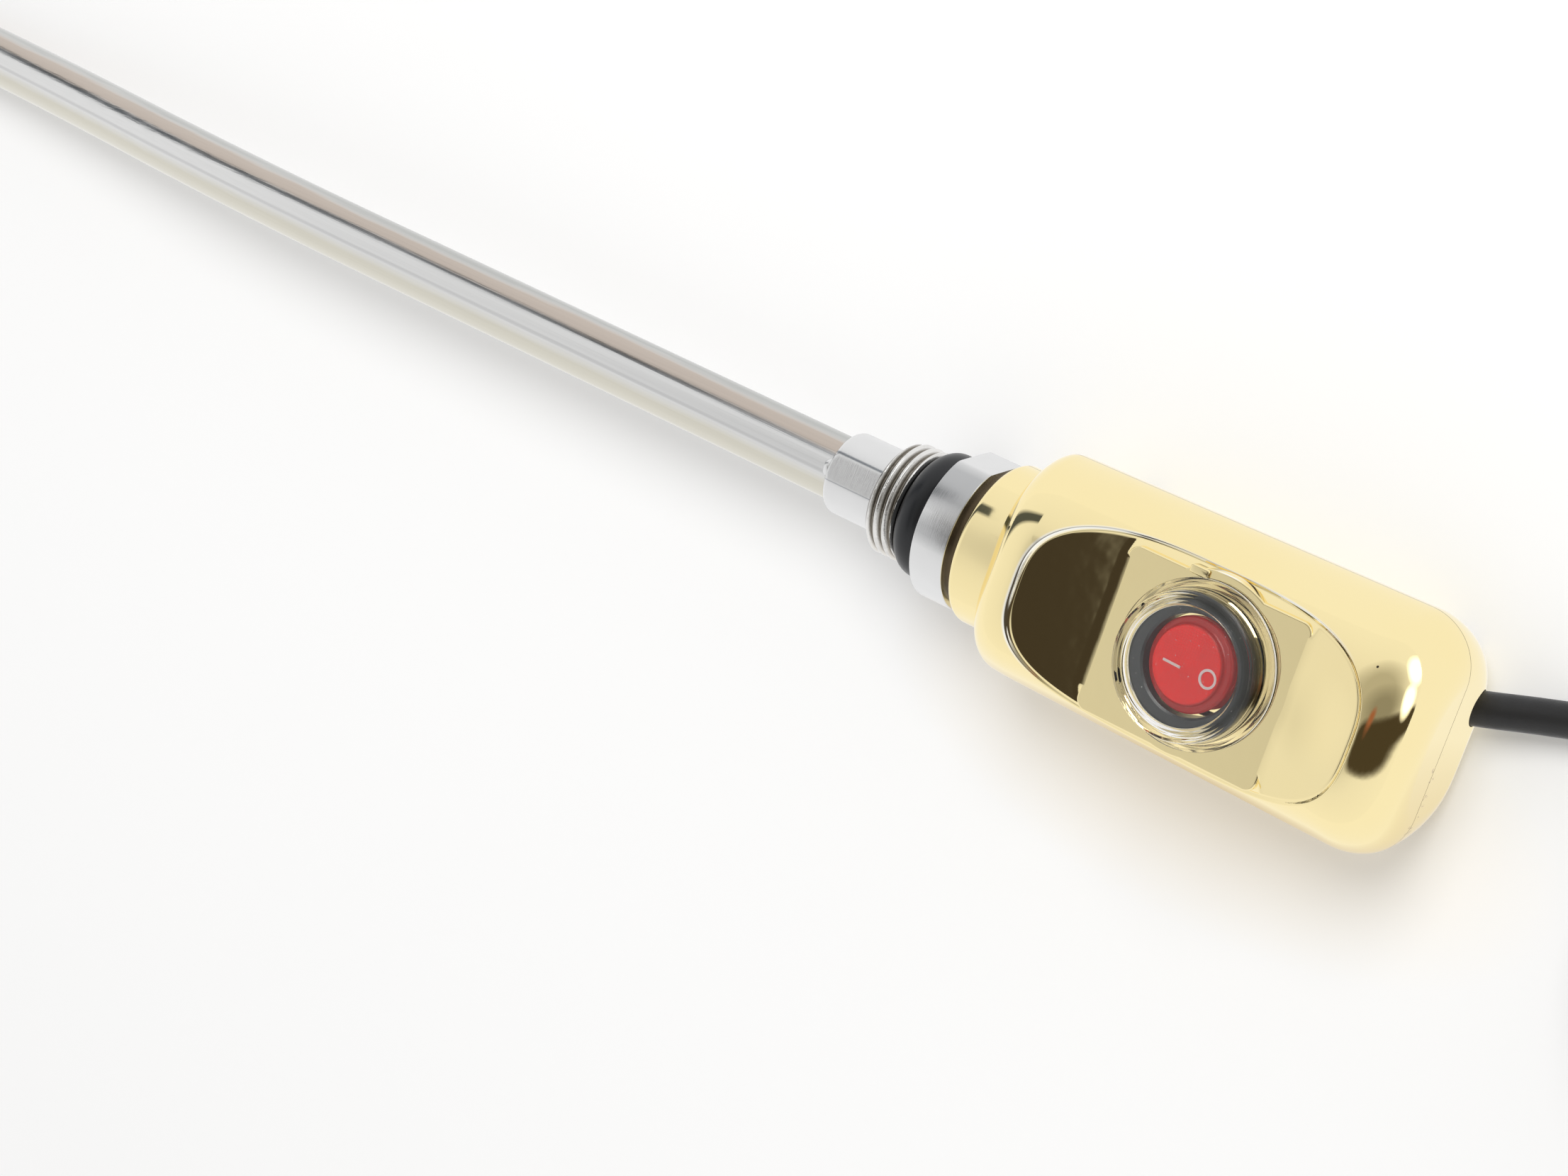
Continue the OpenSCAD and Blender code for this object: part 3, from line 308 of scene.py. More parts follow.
def turned_steel(name, tint=(0.74, 0.73, 0.72), low=0.16, high=0.32, grain=(9, 0.12, 0.12),
                 stain=0.6, finish=None):
    """Turned and plated steel: fine marks round the axis and a few stains."""
    m = Material(name)
    m.set(Metallic=1.0, Base_Color=tint)
    marks = m.noise(m.place(grain), 1.0, 3, 0.6)
    cloud = m.ramp(m.noise(m.place(), 0.22, 4, 0.65), [(0.45, 0.0), (0.75, 1.0)])
    base = m.mix(tint, [t * 0.72 for t in tint], m.times(cloud, stain))
    m.feed("Base Color", finish(m, base) if finish else base)
    m.feed("Roughness", m.range(marks, 0.25, 0.8, low, high))
    m.bump(marks, 0.08, 0.0006)
    return m.material


def painted_plug_bands(m, base):
    """Painted reflections: dark lines along the edges of the boss's flats, and darker bands round
    the collar at set turns about its axis.
    """
    x, y, z = m.axes(m.place())
    turn = m.math("ARCTAN2", y, z)

    def band(low, high, soft):
        return m.window(turn, math.radians(low), math.radians(high), math.radians(soft))

    boss = m.range(x, THREAD_X0 - 0.3, THREAD_X0 - 0.2, 1.0, 0.0)
    # Painted reflection lines along the edges of the boss's flats.
    line = m.most(band(32.4, 35.4, 1.0), m.times(band(-7.3, -5.9, 0.5), 0.6))
    base = m.mix(base, (0.33, 0.35, 0.37), m.times(line, boss))
    # Painted reflection bands on the collar, set by turn about the axis.
    grey = m.plus(band(21, 58, 6), m.times(band(-7, 9, 5), 0.8))
    collar = m.times(m.minus(1.0, boss), grey)
    return m.mix(base, (0.50, 0.505, 0.51), collar)


def shaded_thread_roots(m, base):
    """Painted shade in the thread's roots."""
    _, y, z = m.axes(m.place())
    return m.mix(base, (0.22, 0.20, 0.17), m.range(m.hypot(y, z), THREAD_R - 0.35, THREAD_R - 0.75))


def plain(name, colour, rough=0.45, grain=0.6, depth=0.04):
    """A moulded or painted piece with a little unevenness in colour and gloss."""
    m = Material(name)
    m.set(Base_Color=colour, Roughness=rough)
    cloud = m.noise(m.place(), grain, 3)
    m.feed("Base Color", m.mix(colour, [c * 0.82 for c in colour], cloud))
    m.feed("Roughness", m.range(cloud, 0.2, 0.8, rough * 0.85, min(1, rough * 1.15)))
    m.bump(m.noise(m.place(), grain * 6, 2), depth, 0.0005)
    return m.material


def clear(name):
    """Clear soft plastic with faint haze and dust, and painted shade on its wall's far lead-end
    side.
    """
    tint = (0.95, 0.945, 0.93)
    m = Material(name)
    m.set(Base_Color=tint, IOR=1.36, Roughness=0.02, Transmission_Weight=1.0)
    haze = m.noise(m.place(), 0.8, 3)
    m.feed("Roughness", m.range(haze, 0.3, 0.8, 0.0, 0.05))
    x, y, _ = m.axes(m.place())
    x = m.minus(x, SWITCH_X)
    turn = m.math("ARCTAN2", y, x)
    # Painted shade: the wall's far lead-end side is darkened.
    painted_shade = m.times(m.range(m.hypot(x, y), 10.4, 11.4),
                    m.window(turn, math.radians(-30), math.radians(110), math.radians(22)))
    m.feed("Base Color", m.mix(tint, (0.66, 0.64, 0.59), painted_shade))
    dust = m.noise(m.place(), 2.6, 2, 0.5)
    m.feed("Transmission Weight", m.range(dust, 0.735, 0.78, 1.0, 0.4))
    return m.material


GRID_PITCH = 0.48


def red_with_painted_glow():
    """Translucent red rocker with the fine square grid that is moulded under its face, a painted
    glow, and its side wall painted darker as shade.
    """
    colour, deep = (0.92, 0.010, 0.006), (0.62, 0.01, 0.01)
    # side is a painted shade colour for the rocker's side wall.
    lines, side = (0.40, 0.006, 0.004), (0.28, 0.006, 0.006)
    m = Material("rocker_red")
    # The faint red emission is a painted glow.
    m.set(Base_Color=colour, Roughness=0.22, IOR=1.4, Emission_Color=(1.0, 0.03, 0.02),
          Emission_Strength=0.10)
    x, y, _ = m.axes(m.place())
    waves = [m.math("ABSOLUTE", m.math("SINE", m.times(axis, math.pi / GRID_PITCH)))
             for axis in (x, y)]
    grid = m.most(*(m.range(wave, 0.0, 0.55, 1.0, 0.0) for wave in waves))
    face = m.mix(m.mix(colour, deep, m.noise(m.place(), 0.25, 3)), lines, m.times(grid, 0.75))
    # Painted shade: the rocker's side wall beyond the face is darker.
    away = m.hypot(m.minus(x, SWITCH_X - 0.45), y)
    m.feed("Base Color", m.mix(face, side, m.range(away, 6.25, 6.6)))
    return m.material


# Meshes --------------------


def mesh_object(name, points, faces, material, normals=None, crease=None):
    """A smooth-shaded object from points in millimetres. normals are given for each point, and
    otherwise edges sharper than crease degrees stay sharp."""
    mesh = bpy.data.meshes.new(name)
    mesh.from_pydata([tuple(p) for p in mm(np.asarray(points))], [], [list(f) for f in faces])
    mesh.validate()
    made = bpy.data.objects.new(name, mesh)
    bpy.context.scene.collection.objects.link(made)
    mesh.materials.append(material)
    mesh.polygons.foreach_set("use_smooth", [True] * len(mesh.polygons))
    if normals is not None:
        mesh.normals_split_custom_set_from_vertices([tuple(n) for n in normals])
    elif crease is not None:
        mesh.set_sharp_from_angle(angle=math.radians(crease))
    return made


def solid(name, points, faces, material, crease=None):
    """A closed mesh whose faces are turned outwards."""
    made = mesh_object(name, points, faces, material, crease=crease)
    outward(made)
    return made


def strip(a, b, n, closed=True):
    """Quads between two rows of n points that start at a and b."""
    last = n if closed else n - 1
    return [(a + i, a + (i + 1) % n, b + (i + 1) % n, b + i) for i in range(last)]


def strips(count, n, closed=True, back=False):
    """Quads along count rows of n points. back joins the last row to the first."""
    pairs = [(j, j + 1) for j in range(count - 1)] + ([(count - 1, 0)] if back else [])
    return [f for a, b in pairs for f in strip(a * n, b * n, n, closed)]


def circle(r, count):
    """Points of a circle, as pairs."""
    turns = (2 * math.pi * i / count for i in range(count))
    return [(r * math.cos(a), r * math.sin(a)) for a in turns]


# Faces of a block whose corners run round its first level and then round its second
BOX = ((3, 2, 1, 0), (4, 5, 6, 7), (0, 1, 5, 4), (1, 2, 6, 5), (2, 3, 7, 6), (3, 0, 4, 7))


def block(name, ends, material):
    """A block between two levels. ends gives z and (x0, x1, y0, y1) for each."""
    points = [(x, y, z) for z, (x0, x1, y0, y1) in ends
              for x, y in ((x0, y0), (x1, y0), (x1, y1), (x0, y1))]
    return solid(name, points, BOX, material)


def rounded(points, radius, steps=4):
    """An open outline with its inner corners rounded. radius is one number or one for each."""
    radii = [radius] * len(points) if not np.ndim(radius) else radius
    out = [np.array(points[0], float)]
    for i in range(1, len(points) - 1):
        a, b, c = (np.array(points[j], float) for j in (i - 1, i, i + 1))
        u, v = a - b, c - b
        lu, lv = np.linalg.norm(u), np.linalg.norm(v)
        u, v = u / lu, v / lv
        turn = math.acos(max(-1, min(1, float(u @ v))))
        cut = min(radii[i] / max(math.tan(turn / 2), 1e-6), 0.45 * lu, 0.45 * lv)
        if cut < 1e-4 or turn > 3.1:
            out.append(b)
            continue
        for k in range(steps + 1):
            t = k / steps
            out.append((1 - t) ** 2 * (b + u * cut) + 2 * t * (1 - t) * b + t * t * (b + v * cut))
    out.append(np.array(points[-1], float))
    return out


def lathe(name, profile, material, axis="x", centre=(0, 0, 0), segments=192, crease=28):
    """A closed solid turned from (radius, station) points. A radius of 0 closes an end."""
    points, rows, faces = [], [], []
    for r, s in profile:
        rows.append((len(points), r > 1e-6))
        for c, d in circle(r, segments if r > 1e-6 else 1):
            points.append((s, c, d) if axis == "x" else (c, d, s))
    for (a, wide_a), (b, wide_b) in zip(rows, rows[1:]):
        if wide_a and wide_b:
            faces += strip(a, b, segments)
        elif wide_a:
            faces += [(a + i, a + (i + 1) % segments, b) for i in range(segments)]
        elif wide_b:
            faces += [(a, b + (i + 1) % segments, b + i) for i in range(segments)]
    if rows[0][1] and rows[-1][1]:
        faces += strip(rows[-1][0], rows[0][0], segments)
    return solid(name, np.array(points) + np.array(centre), faces, material, crease)


def outward(made):
    """Turns a closed mesh's faces outwards, and keeps its sharp edges."""
    work = bmesh.new()
    work.from_mesh(made.data)
    bmesh.ops.recalc_face_normals(work, faces=work.faces)
    work.to_mesh(made.data)
    work.free()


def tube(name, path, radius, material):
    """A round tube swept along points in millimetres, with a domed first end."""
    segments, dome_steps = 72, 14
    path = np.asarray(path, float)
    tangent = units(np.gradient(path, axis=0))
    a = np.linspace(0.02, math.pi / 2, dome_steps)[:-1]
    dome = np.array([path[0] - tangent[0] * radius * math.cos(t) for t in a])
    centres = np.concatenate([dome, path])
    radii = np.concatenate([radius * np.sin(a), np.full(len(path), radius)])
    tangent = np.concatenate([np.repeat(tangent[:1], dome_steps - 1, 0), tangent])
    side = np.array([0.0, 1.0, 0.0])
    points = []
    for c, t, r in zip(centres, tangent, radii):
        v = unit(side - (side @ t) * t)
        w = np.cross(t, v)
        points += [c + p * v + q * w for p, q in circle(r, segments)]
    rows = len(centres)
    faces = strips(rows, segments)
    last = (rows - 1) * segments
    faces += [tuple(range(segments - 1, -1, -1)), tuple(last + i for i in range(segments))]
    return solid(name, points, faces, material, crease=40)


def join(name, pieces):
    """Joins objects into the first, under a new name."""
    with bpy.context.temp_override(
        active_object=pieces[0], selected_editable_objects=pieces, object=pieces[0]
    ):
        bpy.ops.object.join()
    pieces[0].name = name
    pieces[0].data.name = name
    return pieces[0]


def unit(v):
    return v / np.linalg.norm(v)


def units(vectors):
    """Each row of an array, brought to length 1."""
    return vectors / np.linalg.norm(vectors, axis=1)[:, None]


def smooth_step(t):
    t = np.clip(t, 0, 1)
    return t * t * (3 - 2 * t)


# Camera, floor and light --------------------

FOCAL_PX = 4113.5
IMAGE_W = 2212
CAMERA_AT = (230.75, 113.93, 438.42)
CAMERA_RIGHT = (0.77593, 0.30016, -0.55483)
CAMERA_DOWN = (0.3948, -0.91706, 0.05601)
CAMERA_AHEAD = (-0.492, -0.2625, -0.83008)


def make_camera():
    data = bpy.data.cameras.new("camera")
    data.sensor_width = 36
    data.lens = FOCAL_PX / IMAGE_W * data.sensor_width
    data.clip_start, data.clip_end = 0.01, 20
    made = bpy.data.objects.new("camera", data)
    bpy.context.scene.collection.objects.link(made)
    right, down, ahead = (Vector(v).normalized() for v in (CAMERA_RIGHT, CAMERA_DOWN, CAMERA_AHEAD))
    turn = Matrix((right, -down, -ahead)).transposed()
    made.matrix_world = Matrix.Translation(mm(np.array(CAMERA_AT))) @ turn.to_4x4()
    bpy.context.scene.camera = made


FLOOR_LIFT = 0.2
FLOOR_SIZE = 3000
GLOW_AT, GLOW_REACH = (52, -22), (58, 26)


def make_floor():
    """A white sweep with the warm glow that the gold throws beside it. What the camera, gloss and
    glass see is lifted to white, and keeps its shadow."""
    white, warm, mirrored = (0.80, 0.80, 0.80), (0.83, 0.765, 0.66), (0.72, 0.62, 0.46)
    m = Material("floor_white")
    m.set(Roughness=0.9, Emission_Color=(1.0, 1.0, 1.0), Specular_IOR_Level=0.0)
    path = m.node("ShaderNodeLightPath").outputs
    glossy = path["Is Glossy Ray"]
    away = m.hypot(*(m.math("DIVIDE", m.minus(axis, at), reach)
                     for axis, at, reach in zip(m.axes(m.place()), GLOW_AT, GLOW_REACH)))
    glow = m.range(away, 0.35, 1.15, 1.0, 0.0)
    m.feed("Base Color", m.mix(m.mix(white, warm, glow), (0, 0, 0), glossy))
    m.feed("Emission Color", m.mix((1.0, 1.0, 1.0), mirrored, m.times(glow, glossy)))
    lift = m.times(m.most(path["Is Camera Ray"], path["Is Transmission Ray"]), FLOOR_LIFT)
    m.feed("Emission Strength", m.most(lift, glossy))
    corners = ((-1, -1), (1, -1), (1, 1), (-1, 1))
    points = [(FLOOR_SIZE * i, FLOOR_SIZE * j, FLOOR_Z) for i, j in corners]
    mesh_object("floor", points, [(0, 1, 2, 3)], m.material)


def lamp(name, at, aim, size, power):
    data = bpy.data.lights.new(name, "AREA")
    data.shape = "DISK"
    data.size = mm(size)
    data.energy = power
    made = bpy.data.objects.new(name, data)
    bpy.context.scene.collection.objects.link(made)
    made.location = mm(np.array(at, float))
    made.rotation_mode = "QUATERNION"
    made.rotation_quaternion = (Vector(aim) - Vector(at)).to_track_quat("-Z", "Y")
    made.visible_glossy = False


def towards(azimuth, zenith):
    """Unit vector at an azimuth from +X towards +Y, and an angle from straight up, in degrees."""
    a, t = math.radians(azimuth), math.radians(zenith)
    return (math.sin(t) * math.cos(a), math.sin(t) * math.sin(a), math.cos(t))


def sky_patch(g, way, sky, colour, azimuth, zenith, wide, tall, soft):
    """Mixes a patch of another brightness into the sky, of given half widths in degrees."""
    a = math.radians(azimuth)
    across = g.dot(way, [v / math.tan(math.radians(wide)) for v in (-math.sin(a), math.cos(a), 0)])
    upright = towards(azimuth, zenith + 90)
    along = g.dot(way, [v / math.tan(math.radians(tall)) for v in upright])
    ahead = g.most(g.dot(way, towards(azimuth, zenith)), 0.01)
    near = g.range(g.math("DIVIDE", g.hypot(across, along), ahead), 1 - soft, 1 + soft, 1.0, 0.0)
    return g.mix(sky, colour, near)


SKY_SHARE = 0.80
# Brightness of the sky by height, from the horizon to straight up
SKY = [(0.0, 0.98), (0.35, 0.94), (0.6, 0.92), (0.8, 0.86), (0.92, 0.62), (1.0, 0.60)]
# Colour, azimuth, zenith, half width, half height and softness of each patch
CAMERA_SIDE = [((0.50, 0.49, 0.46), 36, 34, 38, 34, 0.4), ((0.30, 0.29, 0.26), 8, 42, 20, 24, 0.5)]
DARK_ARC = [((0.07, 0.055, 0.035), 333 + 26 * f ** 0.8, 32 + 56 * f,
             8 + 2 * math.sin(math.pi * f), 9 + 4 * f, 0.3) for f in np.linspace(0, 1, 9)]
REDDISH = [((0.36, 0.14, 0.08), 354, 32, 7, 3.6, 0.5)]
SOFTBOX = [((2.4, 2.4, 2.4), 14, 77, 14, 8, 0.3), ((2.4, 2.4, 2.4), 45, 84, 17, 9, 0.3)]


def make_world():
    """White studio all round, with the room's darker parts and the softbox that the gold shows."""
    world = bpy.data.worlds.new("studio")
    bpy.context.scene.world = world
    world.use_nodes = True
    g = Graph(world.node_tree)
    g.nodes.clear()
    back = g.node("ShaderNodeBackground")
    g.node("ShaderNodeOutputWorld", {"Surface": back.outputs[0]})
    way = g.node("ShaderNodeTexCoord").outputs["Generated"]
    x, _, z = g.axes(way)
    sky = g.ramp(z, SKY, "B_SPLINE")
    for patch in CAMERA_SIDE + DARK_ARC + REDDISH:
        sky = sky_patch(g, way, sky, *patch)
    # Dark gaps between the lights: one overhead, and one low along the rod's far side
    gap = g.times(g.window(g.dot(way, (0.95, 0.312, 0)), -0.32, -0.15, 0.03),
                  g.window(g.dot(way, (-0.312, 0.95, 0)), -0.40, 0.40, 0.08))
    sky = g.mix(sky, (0.055, 0.045, 0.035), g.times(gap, g.range(z, 0.3, 0.5)))
    gap = g.window(g.dot(way, (0, 0.669, -0.743)), -0.10, 0.115, 0.04)
    sky = g.mix(sky, (0.09, 0.10, 0.11), g.times(gap, g.range(x, -0.479, -0.487)))
    for patch in SOFTBOX:
        sky = sky_patch(g, way, sky, *patch)
    path = g.node("ShaderNodeLightPath").outputs
    g.give(back.inputs["Color"], g.mix(sky, (1, 1, 1), path["Is Camera Ray"]))
    g.give(back.inputs["Strength"], g.range(path["Is Diffuse Ray"], 0, 1, 1.0, SKY_SHARE))


make_camera()
make_floor()
make_world()
lamp("key", (150, 800, 1100), (40, 0, 0), 800, 10.6)
lamp("fill", (-500, -200, 1000), (20, 0, 0), 900, 1.0)
bpy.context.scene.view_settings.view_transform = "Standard"


# Lead --------------------

EXIT_WAY = np.array([math.cos(EXIT_TURN), math.sin(EXIT_TURN), 0])
LAY_Z = FLOOR_Z + CORD_D / 2
TIE_T = 1.0
COIL_Z = LAY_Z + TIE_T
HANK_RUN, HANK_R, COIL_PITCH = 62.0, 19.5, 6.5
HANK_AT = np.array([156 + HANK_RUN / 2, -6.9])
HANK_END = 5.25
FOLD_BULGE = 1.5
PLUG_TURN = math.radians(25)


def fold(m):
    """Radius and layer of the hank's folds, m loops into a cycle of three loops and two layers."""
    outer = HANK_R + COIL_PITCH
    if m < 1:
        return outer - COIL_PITCH * m, 0.0
    if m < 1.5:
        a = 2 * math.pi * (m - 1)
        return HANK_R - FOLD_BULGE * math.sin(a), (1 - math.cos(a)) / 2
    if m < 2.5:
        return HANK_R + COIL_PITCH * (m - 1.5), 1.0
    a = 2 * math.pi * (m - 2.5)
    return outer + FOLD_BULGE * math.sin(a), 1 + (1 - math.cos(a)) / 2


def coil_point(n):
    """Point of the hank after n loops: far run, fold, near run, fold."""
    r, layer = fold(n % 3)
    q = n % 1
    half = HANK_RUN / 2
    a = math.pi * (0.5 - 4 * (q % 0.5 - 0.25))
    if q < 0.25:
        x, y = HANK_RUN * (4 * q - 0.5), r
    elif q < 0.5:
        x, y = half + r * math.cos(a), r * math.sin(a)
    elif q < 0.75:
        x, y = HANK_RUN * (0.5 - 4 * (q - 0.5)), -r
    else:
        x, y = -half - r * math.cos(a), -r * math.sin(a)
    z = COIL_Z + COIL_PITCH * (2 * math.floor(n / 3) + layer)
    return np.array([HANK_AT[0] + x, HANK_AT[1] + y, z])


LEAVE = coil_point(HANK_END)
PLUG_AT = np.array([LEAVE[0] + 41.9, LEAVE[1] - 9.1, FLOOR_Z + 18.5])
PLUG_WAY = np.array([math.cos(PLUG_TURN), -math.sin(PLUG_TURN), 0])


def curve_through(route, steps):
    """Points of the smooth curve that the CAD sweeps its tubes along."""
    p = [np.array(q, float) for q in route]
    out = []
    for i in range(len(p) - 1):
        before = 2 * p[0] - p[1] if i == 0 else p[i - 1]
        after = 2 * p[i + 1] - p[i] if i == len(p) - 2 else p[i + 2]
        a, b, c, d = before, p[i], p[i + 1], after
        for k in range(steps):
            t = k / steps
            out.append(0.5 * (2 * b + (c - a) * t + (2 * a - 5 * b + 4 * c - d) * t * t
                              + (3 * b - a - 3 * c + d) * t ** 3))
    return out + [p[-1]]


def lead_route():
    """The lead's centreline in millimetres, from inside the housing to the plug's boot."""
    inwards = unit(coil_point(0.002) - coil_point(0))
    outwards = unit(coil_point(HANK_END - 0.001) - coil_point(HANK_END - 0.003))
    start = coil_point(0) - CORD_D * inwards
    supply = [
        EXIT - 19 * EXIT_WAY, EXIT - 4 * EXIT_WAY, EXIT + 2 * EXIT_WAY, (104, 9.7, -11.3),
        (112, 12, LAY_Z + 0.3), (124, 15.4, LAY_Z + 0.6), (134, 17.7, LAY_Z + 0.9),
        start - 7 * inwards, start,
    ]
    tail = [
        LEAVE + CORD_D * outwards, LEAVE + (12, 0.2, -0.2), LEAVE + (18.5, -0.3, -1.1),
        LEAVE + (24.9, -1.7, -2.5), LEAVE + (31, -4, -3.8),
        PLUG_AT - 5.9 * PLUG_WAY + (0, 0, 0.3), PLUG_AT,
    ]
    loops = [coil_point(i / 48) for i in range(int(HANK_END * 48) + 1)]
    return curve_through(supply, 4) + loops + curve_through(tail, 4)


def make_lead(sheath):
    route = np.array(lead_route())
    data = bpy.data.curves.new("mains_lead", "CURVE")
    data.dimensions = "3D"
    data.bevel_depth = mm(CORD_D / 2)
    data.bevel_resolution = 9
    data.use_fill_caps = True
    spline = data.splines.new("POLY")
    spline.points.add(len(route) - 1)
    for point, at in zip(spline.points, mm(route)):
        point.co = (*at, 1)
    spline.use_smooth = True
    data.materials.append(sheath)
    made = bpy.data.objects.new("mains_lead", data)
    bpy.context.scene.collection.objects.link(made)
    length = np.linalg.norm(np.diff(route, axis=0), axis=1).sum()
    return made, length


# Rod, plug and seal --------------------


def rod_centreline():
    """The rod's path in millimetres, from its round tip up through the slow double bend."""
    drop = SEAT_DEPTH - ROD_R
    bend_x0 = -(ROD_LENGTH - TIP_RUN - BEND_RUN)
    bend_r = ((BEND_RUN / 2) ** 2 + (drop / 2) ** 2) / drop
    turn = 2 * math.atan(drop / BEND_RUN)
    low_x = bend_x0 - BEND_RUN
    path = [(x, 0, -drop) for x in np.linspace(-ROD_LENGTH + ROD_R, low_x, 4)[:-1]]
    for a in np.linspace(0, turn, 24)[:-1]:
        path.append((low_x + bend_r * math.sin(a), 0, -drop + bend_r * (1 - math.cos(a))))
    for a in np.linspace(turn, 0, 24):
        path.append((bend_x0 - bend_r * math.sin(a), 0, -bend_r * (1 - math.cos(a))))
    path += [(x, 0, 0) for x in np.linspace(bend_x0, COLLAR_T, 30)[1:]]
    return path


def flat_lathe(name, profile, material, flats):
    """A solid turned about X from (radius, x) points. flats(x) gives the half width and turn of a
    pair of flats at a station, or None where the section is a full circle."""
    count, edge = 360, 0.16
    angle = np.linspace(0, 2 * math.pi, count, endpoint=False)
    points = []
    for r, x in profile:
        reach = np.full(count, float(r))
        found = flats(x)
        if found and r > found[0]:
            across = np.abs(np.cos(angle - found[1]))
            reach = np.minimum(soft_min(reach, found[0] / np.maximum(across, 0.05), edge), r)
        points += list(zip(np.full(count, x), reach * np.cos(angle), reach * np.sin(angle)))
    return solid(name, points, strips(len(profile), count, back=True), material, crease=14)


def fillet(r, x, size, steps=8, inwards=False):
    """Quarter-circle edge points from (r - size, x) out to (r, x + size)."""
    out = []
    for i in range(steps + 1):
        a = math.pi / 2 * i / steps
        out.append((r - size * (1 - math.sin(a)), x + size * (1 - math.cos(a))))
    return out[::-1] if inwards else out


def make_plug(steel, thread_steel, spigot_painted_shade):
    def boss_flat(x):
        return (BOSS_FLATS / 2, math.pi / 2 - BOSS_TURN) if x < THREAD_X0 + 0.2 else None

    def collar_flat(x):
        return (COLLAR_FLATS / 2, COLLAR_TURN) if -0.01 <= x <= COLLAR_T + 0.01 else None

    boss = flat_lathe(
        "plug_boss",
        [(ROD_R - 0.05, BOSS_X0), (ROD_R + 0.35, BOSS_X0)] + fillet(BOSS_R, BOSS_X0, 1.2)
        + [(BOSS_R, THREAD_X0 - 0.8), (BOSS_R, THREAD_X0 + 0.1), (ROD_R - 0.05, THREAD_X0 + 0.1)],
        steel, boss_flat,
    )
    edge = 0.3
    collar = [(SPIGOT_R - 3, 0.15), (SPIGOT_R - 0.2, 0.15), (SPIGOT_R - 0.2, 0)]
    collar += fillet(COLLAR_R, 0, edge, 4)
    collar += [(r, COLLAR_T - x) for r, x in fillet(COLLAR_R, 0, edge, 4, inwards=True)]
    collar += [(SPIGOT_R - 3, COLLAR_T)]
    collar = flat_lathe("plug_collar", collar, steel, collar_flat)
    spigot = lathe("plug_spigot", [
        (SPIGOT_R, COLLAR_T - 0.3), (SPIGOT_R, 12), (9.5, 12), (9.5, 15), (SPIGOT_R, 15),
        (SPIGOT_R, 18), (7.8, 18), (7.8, COLLAR_T - 0.3),
    ], spigot_painted_shade)
    return join("plug_skin", [boss, collar, spigot, make_thread(thread_steel), make_bead(steel)])


def make_bead(steel):
    """Bead of weld metal between the rod and the boss."""
    rows, count = 14, 36
    turn = math.radians(8)
    points = []
    for j in range(rows + 1):
        a = math.pi * j / rows
        for i in range(count):
            b = 2 * math.pi * i / count
            along, round_ = 1.25 * math.cos(a), 1.7 * math.sin(a) * math.cos(b)
            out = 0.85 * math.sin(a) * math.sin(b)
            r = ROD_R + 0.1 + out * (1 + 0.12 * math.sin(3 * b + 2 * a))
            t = turn + round_ / ROD_R
            points.append((BOSS_X0 - 0.15 + along, r * math.sin(t), r * math.cos(t)))
    return solid("weld_bead", points, strips(rows + 1, count), steel)


THREAD_PHASE = 0.94


def make_thread(steel):
    """Helical pipe thread with its chamfer and run-out, and the relief that the seal fills."""
    segments = 192
    root = THREAD_R - THREAD_DEPTH
    rows = []
    for x in np.arange(THREAD_X0, THREAD_X1 + 0.02, 0.075):
        row = []
        for i, (c, d) in enumerate(circle(1, segments)):
            wave = (x / THREAD_PITCH - i / segments + THREAD_PHASE) % 1.0
            ridge = np.clip((abs(wave - 0.5) * 2 - 0.12) / 0.74, 0, 1)
            r = root + THREAD_DEPTH * (0.65 * ridge + 0.35 * smooth_step(ridge))
            r = min(r, THREAD_R - 0.9 + (x - THREAD_X0), THREAD_R - 1.6 * (x - (THREAD_X1 - 0.45)))
            row.append((x, r * c, r * d))
        rows.append(row)
    for r, x in ((RELIEF_R, THREAD_X1 + 0.03), (RELIEF_R, 0.15), (ROD_R, 0.15), (ROD_R, THREAD_X0)):
        rows.append([(x, *p) for p in circle(r, segments)])
    return solid("plug_thread", sum(rows, []), strips(len(rows), segments, back=True), steel, 40)


def make_seal(rubber):
    """Rubber seal ring whose thread side is pressed flat."""
    mid_r, half = RELIEF_R - 0.05, 3.25
    mid_x = -half - 0.05
    profile = [(RELIEF_R + 0.02, mid_x - half + 0.1)]
    for a in np.linspace(-80, 84, 40):
        x = max(mid_x + half * math.sin(math.radians(a)), THREAD_X1 + 0.05)
        profile.append((mid_r + half * math.cos(math.radians(a)), x))
    profile.append((RELIEF_R + 0.02, -0.02))
    return lathe("seal_ring", profile, rubber)


# Housing --------------------


def rolled(distance, radius):
    """Depth of a quarter-round edge at a distance inside its radius, with its slope."""
    d = np.clip(distance, 0, radius * 0.99999)
    root = np.sqrt(radius * radius - d * d)
    return radius - root, d / root


# Height, rolls at the two ends, and the section's powers across and up
FRONT = (CROWN_H, ROLL_NECK, ROLL_LEAD, 3.0, 1.5)
BACK = (BELLY_H, ROLL_BACK, ROLL_BACK, 5.0, 1.6)


def outline_at(u, shell):
    """Half width and height of a shell's section at u, with their slopes along u."""
    height, roll0, roll1 = shell[:3]
    y0, sy0 = rolled(CORNER_NECK - u, CORNER_NECK)
    y1, sy1 = rolled(u - (BODY_LENGTH - CORNER_LEAD), CORNER_LEAD)
    z0, sz0 = rolled(roll0 - u, roll0)
    z1, sz1 = rolled(u - (BODY_LENGTH - roll1), roll1)
    grow = (WIDTH_LEAD - WIDTH_NECK) / 2 / BODY_LENGTH
    return WIDTH_NECK / 2 + grow * u - y0 - y1, grow + sy0 - sy1, height - z0 - z1, sz0 - sz1


